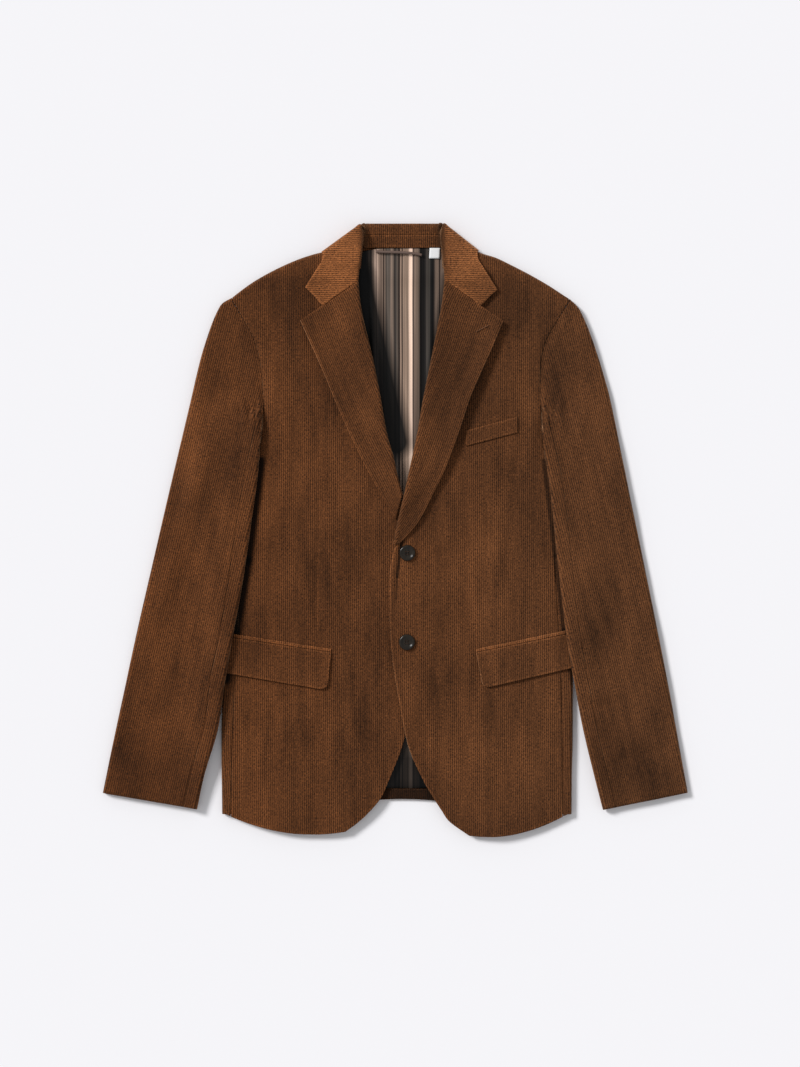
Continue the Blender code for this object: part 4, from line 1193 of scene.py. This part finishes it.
def finish_for(kind):
    """Each finish is made once, from the settings in the panel."""
    if kind not in FINISHES:
        ribbed = bpy.context.scene.jacket_cloth
        striped = bpy.context.scene.jacket_lining
        shadows = under_sleeves()
        # the fronts carry the darts and painted shade: the crease below the button and the sleeves'
        # shadows
        darts_and_painted_shade = [*DARTS, *EDGE_CREASE_SHADE, *shadows]
        FINISHES[kind] = {
            "corduroy": lambda: corduroy(ribbed),
            "darted": lambda: corduroy(ribbed, "brown corduroy, darted, with painted shade", lines=darts_and_painted_shade),
            "collar": lambda: corduroy(ribbed, "brown corduroy, painted highlight beside the neck", side_glow=1.05),
            # a shaded copy: painted shadow of the sleeves on the side panels
            "side": lambda: corduroy(ribbed, "brown corduroy, sides", lines=shadows),
            # a lighter copy: painted highlight on the jets
            "bright": lambda: corduroy(ribbed, "brown corduroy, jets", depth=1.35),
            # a darker copy: painted shade on the back hem inside the vent
            "shaded": lambda: corduroy(ribbed, "brown corduroy, back hem", depth=0.2),
            "satin": lambda: striped_satin(striped),
            "horn": dark_horn,
            "tape": lambda: plain("white tape", linear(238, 238, 238)),
            "thread": lambda: plain("brown thread", linear(58, 40, 28)),
            "silk": lambda: plain("light brown thread", linear(142, 102, 74)),
            "cord": lambda: plain("taupe satin cord", linear(104, 84, 74), 0.35),
        }[kind]()
    return FINISHES[kind]


# Stitches

def stitch_tree():
    """Thread laid along a line, or across it when turned by a quarter."""
    tree = bpy.data.node_groups.new("Thread stitches", "GeometryNodeTree")
    face = tree.interface
    face.new_socket("Geometry", in_out="INPUT", socket_type="NodeSocketGeometry")
    for name in ("Spacing", "Stitch length", "Thread radius", "Turn"):
        face.new_socket(name, in_out="INPUT", socket_type="NodeSocketFloat")
    face.new_socket("Thread", in_out="INPUT", socket_type="NodeSocketMaterial")
    face.new_socket("Geometry", in_out="OUTPUT", socket_type="NodeSocketGeometry")
    new, link = tree.nodes.new, tree.links.new
    given, made = new("NodeGroupInput"), new("NodeGroupOutput")
    curve, points = new("GeometryNodeMeshToCurve"), new("GeometryNodeCurveToPoints")
    points.mode = "LENGTH"
    thread = new("GeometryNodeMeshCylinder")
    thread.inputs["Vertices"].default_value = 6
    turned, angle = new("FunctionNodeRotateRotation"), new("FunctionNodeEulerToRotation")
    turned.rotation_space = "LOCAL"
    around = new("ShaderNodeCombineXYZ")
    placed, real = new("GeometryNodeInstanceOnPoints"), new("GeometryNodeRealizeInstances")
    colored = new("GeometryNodeSetMaterial")
    link(given.outputs["Geometry"], curve.inputs[0])
    link(curve.outputs[0], points.inputs["Curve"])
    link(given.outputs["Spacing"], points.inputs["Length"])
    link(given.outputs["Thread radius"], thread.inputs["Radius"])
    link(given.outputs["Stitch length"], thread.inputs["Depth"])
    link(given.outputs["Turn"], around.inputs["X"])
    link(around.outputs[0], angle.inputs[0])
    link(points.outputs["Rotation"], turned.inputs[0])
    link(angle.outputs[0], turned.inputs[1])
    link(points.outputs["Points"], placed.inputs["Points"])
    link(thread.outputs["Mesh"], placed.inputs["Instance"])
    link(turned.outputs[0], placed.inputs["Rotation"])
    link(placed.outputs[0], real.inputs[0])
    link(real.outputs[0], colored.inputs["Geometry"])
    link(given.outputs["Thread"], colored.inputs["Material"])
    link(colored.outputs[0], made.inputs[0])
    return tree


def stitch_row(name, points, spacing, length, radius, turn=0.0, thread="thread"):
    """A row of stitches through points; every length is in millimetres."""
    tree = bpy.data.node_groups.get("Thread stitches") or stitch_tree()
    obj = add(name, outline(name + "_line", points))
    sewn = obj.modifiers.new("stitches", "NODES")
    sewn.node_group = tree
    values = {"Spacing": spacing * MM, "Stitch length": length * MM, "Thread radius": radius * MM,
              "Turn": turn, "Thread": finish_for(thread)}
    for item in tree.interface.items_tree:
        if item.in_out == "INPUT" and item.name in values:
            sewn[item.identifier] = values[item.name]
    made = as_mesh(obj)
    obj.modifiers.clear()
    obj.data = made
    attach(obj, "root")


# Operators and the panel

class JacketCloth(bpy.types.PropertyGroup):
    wale_pitch: bpy.props.FloatProperty(
        name="Wale pitch", description="From one wale to the next, in millimetres", default=2.6,
        min=1.0, max=8.0)
    wale_color: bpy.props.FloatVectorProperty(
        name="Wale color", description="Color of the pile on top of a wale", subtype="COLOR",
        default=linear(116, 70, 38), min=0, max=1)
    furrow_color: bpy.props.FloatVectorProperty(
        name="Furrow color", description="Color of the ground between two wales", subtype="COLOR",
        default=linear(36, 19, 9), min=0, max=1)


class JacketLining(bpy.types.PropertyGroup):
    stripe_repeat: bpy.props.FloatProperty(
        name="Stripe repeat", description="Width over which the stripes repeat, in millimetres",
        default=116.0, min=20.0, max=400.0)


class JacketStage(bpy.types.PropertyGroup):
    camera_height: bpy.props.FloatProperty(
        name="Camera height", description="Height of the camera over the floor", subtype="DISTANCE",
        unit="LENGTH", default=3.0, min=1.0, max=10.0)
    key_strength: bpy.props.FloatProperty(
        name="Key light", description="Strength of the light from the upper left", default=2.7,
        min=0.0, max=20.0)
    fill_strength: bpy.props.FloatProperty(
        name="Fill light", description="Brightness of the room", default=0.5, min=0.0, max=5.0)


SIDES = (("right", RIGHT), ("left", LEFT))


class JacketOperator(bpy.types.Operator):
    bl_options = {"REGISTER", "UNDO"}

    def execute(self, context):
        self.make(context)
        return {"FINISHED"}


class JACKET_OT_body(JacketOperator):
    """Backs and side panels: what lies on the floor"""
    bl_idname = "jacket.body"
    bl_label = "Back and sides"

    def make(self, context):
        for word, half in SIDES:
            back("back_" + word, half, finish_for("corduroy"))
            side("side_" + word, half, finish_for("side"))


class JACKET_OT_lining(JacketOperator):
    """The back lining with its soft folds, and the hem turned up below it"""
    bl_idname = "jacket.lining"
    bl_label = "Lining and back hem"

    def make(self, context):
        lining("lining_back", finish_for("satin"))
        back_hem("back_hem", finish_for("shaded"))


class JACKET_OT_fronts(JacketOperator):
    """Both fronts, the left one lying over the right"""
    bl_idname = "jacket.fronts"
    bl_label = "Fronts"

    def make(self, context):
        for word, half in SIDES:
            front("front_" + word, half, finish_for("darted"))


class JACKET_OT_sleeves(JacketOperator):
    """Two-piece sleeves, laid over the body's sides"""
    bl_idname = "jacket.sleeves"
    bl_label = "Sleeves"

    def make(self, context):
        for word, half in SIDES:
            sleeve_top(f"sleeve_{word}_top", half, finish_for("corduroy"))
            sleeve_under(f"sleeve_{word}_under", half, finish_for("corduroy"))


class JACKET_OT_lapels(JacketOperator):
    """Notch lapels, rolled over from the fronts, with the buttonhole in the left one"""
    bl_idname = "jacket.lapels"
    bl_label = "Lapels"

    def make(self, context):
        for word, half in SIDES:
            made = lapel("lapel_" + word, half, finish_for("corduroy"))
        buttonhole(made)


class JACKET_OT_collar(JacketOperator):
    """The collar's fall and its stand"""
    bl_idname = "jacket.collar"
    bl_label = "Collar"

    def make(self, context):
        collar_fall("collar_fall", finish_for("collar"))
        collar_stand("collar_stand", finish_for("corduroy"))


class JACKET_OT_pockets(JacketOperator):
    """Flap pockets with their jets, and the breast pocket's welt"""
    bl_idname = "jacket.pockets"
    bl_label = "Pockets"

    def make(self, context):
        for word, half in SIDES:
            pocket(word, half, finish_for("corduroy"))
        patch("breast_welt", LEFT, BREAST_WELT, TRIM, 0.3, finish_for("corduroy"), rows=3)


class JACKET_OT_buttons(JacketOperator):
    """Four-hole buttons, each with its thread"""
    bl_idname = "jacket.buttons"
    bl_label = "Buttons"

    def make(self, context):
        for name, spot in BUTTONS.items():
            sew_button(name, spot)


class JACKET_OT_trims(JacketOperator):
    """Hanger loop and bare size label at the neck"""
    bl_idname = "jacket.trims"
    bl_label = "Loop and label"

    def make(self, context):
        hanger_loop("hanger_loop", finish_for("cord"))
        size_label("size_label", finish_for("tape"))


class JACKET_OT_stage(JacketOperator):
    """Pale floor, soft light from the upper left, and the camera straight above"""
    bl_idname = "jacket.stage"
    bl_label = "Floor, light and camera"

    def make(self, context):
        settings = context.scene.jacket_stage
        pale_floor()
        lights(settings)
        camera_above(settings.camera_height)


FLOOR_HALF = 6.0              # metres from the floor's middle to its edge
FLOOR_DROP = 0.0003           # metres from the garment's underside to the floor
FRAME_HEIGHT = 1.334          # metres that the camera sees from top to bottom
FRAME_CENTRE = (5.9, -4.4)    # millimetres
KEY_DIRECTION = (0.64, -0.44, -0.63)
KEY_SPREAD = math.radians(16)
SENSOR = 36.0                 # the camera's sensor height in millimetres


def pale_floor():
    mesh = bpy.data.meshes.new(FLOOR)
    made = bmesh.new()
    bmesh.ops.create_grid(made, x_segments=1, y_segments=1, size=FLOOR_HALF)
    made.to_mesh(mesh)
    made.free()
    floor = add(FLOOR, mesh)
    floor.location.z = -FLOOR_DROP
    paper = Finish("pale paper", 0.9, specular=0.0)
    paper.set("Base Color", (*linear(243, 241.5, 244), 1))
    mesh.materials.append(paper.material)


def lights(settings):
    """A low sun from the upper left, and a bright room."""
    key = bpy.data.lights.new("key", "SUN")
    key.energy = settings.key_strength
    key.angle = KEY_SPREAD
    lamp = add("key", key)
    lamp.rotation_euler = Vector(KEY_DIRECTION).to_track_quat("-Z", "Y").to_euler()
    world = bpy.data.worlds.new("soft room")
    world.use_nodes = True
    room = world.node_tree.nodes["Background"]
    room.inputs["Color"].default_value = (0.97, 0.985, 1.0, 1)
    room.inputs["Strength"].default_value = settings.fill_strength
    bpy.context.scene.world = world
    bpy.context.scene.view_settings.view_transform = "Standard"


def camera_above(height):
    camera = bpy.data.cameras.new("above")
    camera.sensor_fit = "VERTICAL"
    camera.sensor_height = SENSOR
    camera.lens = SENSOR * height / FRAME_HEIGHT
    eye = add("above", camera)
    eye.location = (FRAME_CENTRE[0] * MM, FRAME_CENTRE[1] * MM, height)
    bpy.context.scene.camera = eye


HOLE_RADIUS = 1.2
HOLE_REACH = 2.2             # from the button's middle to a hole's
HOLE_ANGLES = [math.pi * (0.25 + number / 2) for number in range(4)]


def outline(name, points):
    """A line through points in millimetres."""
    mesh = bpy.data.meshes.new(name)
    mesh.from_pydata([tuple(c * MM for c in point) for point in points],
                     [(i, i + 1) for i in range(len(points) - 1)], [])
    return mesh


def drill(name, spot):
    mesh = bpy.data.meshes.new(name)
    made = bmesh.new()
    bmesh.ops.create_cone(made, cap_ends=True, segments=16, radius1=HOLE_RADIUS * MM,
                          radius2=HOLE_RADIUS * MM, depth=10 * MM)
    made.to_mesh(mesh)
    made.free()
    tool = add(name, mesh)
    tool.location = tuple(c * MM for c in spot)
    return tool


def sew_button(name, spot):
    """A turned button with a raised rim and four holes, and its two threads."""
    x, y = spot
    low = float(on_front(LEFT, x, y)) + REST
    thick = BUTTON_THICK
    profile = [(0.0, thick - 1.2), (5.4, thick - 1.2), (6.2, thick - 1.0), (7.0, thick - 0.1),
               (7.7, thick + 0.1), (8.6, thick), (9.5, thick - 0.5), (BUTTON_RADIUS, thick * 0.5),
               (9.4, 0.4), (8.4, 0.0), (0.0, 0.0)]
    obj = add(name + "_turned", outline(name, [(radius, 0, height) for radius, height in profile]))
    obj.location = (x * MM, y * MM, low * MM)
    turned = obj.modifiers.new("turned", "SCREW")
    turned.steps = turned.render_steps = 48
    turned.use_merge_vertices = True
    turned.merge_threshold = 0.00005
    drills = []
    for number, angle in enumerate(HOLE_ANGLES):
        hole = (x + HOLE_REACH * math.cos(angle), y + HOLE_REACH * math.sin(angle), low + 2)
        drills.append(drill(f"{name}_drill_{number}", hole))
        obj.modifiers.new("hole", "BOOLEAN").object = drills[-1]
    solid = as_mesh(obj)
    solid.transform(obj.matrix_world)
    obj.modifiers.clear()
    obj.data = solid
    obj.location = (0, 0, 0)
    for tool in drills:
        bpy.data.objects.remove(tool)
    solid.shade_smooth()
    solid.set_sharp_from_angle(angle=math.radians(40))
    solid.materials.clear()
    solid.materials.append(finish_for("horn"))
    stand_for(obj, name)
    top = low + thick - 1.0
    reach = HOLE_REACH * math.cos(math.pi / 4)
    for number, end in enumerate((-1, 1)):
        line = [(x - reach, y + reach * end, top), (x + reach, y + reach * end, top)]
        stitch_row(f"{name}_thread_{number}", line, 1.1, 1.6, 0.32)


LOOP_RADIUS = 1.7
LOOP_RISE = 2.3              # from the lining to the loop's middle, at its ends


def hanger_loop(name, finish):
    line = Table("x y rise", (-24, 347.2, 0), (-18, 346.6, 0.2), (-4, 346.2, 0.4), (12, 345.6, 0.4),
                 (26, 344.2, 0.2), (33, 342.6, 0))
    curve = bpy.data.curves.new(name, "CURVE")
    curve.dimensions = "3D"
    curve.bevel_depth = LOOP_RADIUS * MM
    curve.bevel_resolution = 4
    curve.use_fill_caps = True
    spline = curve.splines.new("POLY")
    across = np.linspace(-24, 33, 60)
    spline.points.add(len(across) - 1)
    for point, x in zip(spline.points, across):
        y = float(line.read("y", x))
        rise = LOOP_RISE + float(line.read("rise", x))
        z = LINING + SATIN / 2 + float(neck_lift(x, y)) + rise
        point.co = (x * MM, y * MM, z * MM, 1)
    drawn = add(name, curve)
    mesh = as_mesh(drawn)
    bpy.data.objects.remove(drawn)
    made = bmesh.new()
    made.from_mesh(mesh)
    bmesh.ops.remove_doubles(made, verts=made.verts, dist=0.00001)
    made.to_mesh(mesh)
    made.free()
    mesh.shade_smooth()
    mesh.materials.clear()
    mesh.materials.append(finish)
    stand_for(add(name + "_cord", mesh), name)


def size_label(name, finish):
    """A bare label, a little askew."""
    z = LINING + SATIN / 2 + NECK_LIFT + 1.5
    rows = [[(x + (y - 345) * 0.06, y, z) for x in (42.5, 49, 55.5)] for y in (338.5, 345.0, 351.5)]
    return cloth(name, rows, 0.8, finish)


class JACKET_PT_pieces(bpy.types.Panel):
    """The jacket's settings and pieces"""
    bl_idname = "JACKET_PT_pieces"
    bl_label = "Corduroy jacket"
    bl_space_type = "VIEW_3D"
    bl_region_type = "UI"
    bl_category = "Jacket"

    def draw(self, context):
        layout = self.layout
        for group in (context.scene.jacket_cloth, context.scene.jacket_lining,
                      context.scene.jacket_stage):
            for key in group.__annotations__:
                layout.prop(group, key)
        for operator in OPERATORS:
            layout.operator(operator.bl_idname)


GROUPS = {"jacket_cloth": JacketCloth, "jacket_lining": JacketLining, "jacket_stage": JacketStage}
OPERATORS = (JACKET_OT_body, JACKET_OT_lining, JACKET_OT_fronts, JACKET_OT_sleeves, JACKET_OT_lapels,
             JACKET_OT_collar, JACKET_OT_pockets, JACKET_OT_buttons, JACKET_OT_trims,
             JACKET_OT_stage)


def register():
    for name, group in GROUPS.items():
        bpy.utils.register_class(group)
        setattr(bpy.types.Scene, name, bpy.props.PointerProperty(type=group))
    for operator in (*OPERATORS, JACKET_PT_pieces):
        bpy.utils.register_class(operator)


def unregister():
    for operator in (*OPERATORS, JACKET_PT_pieces):
        bpy.utils.unregister_class(operator)
    for name, group in GROUPS.items():
        delattr(bpy.types.Scene, name)
        bpy.utils.unregister_class(group)


def main():
    register()
    for operator in OPERATORS:
        group, word = operator.bl_idname.split(".")
        getattr(getattr(bpy.ops, group), word)()


if __name__ == "__main__":
    main()
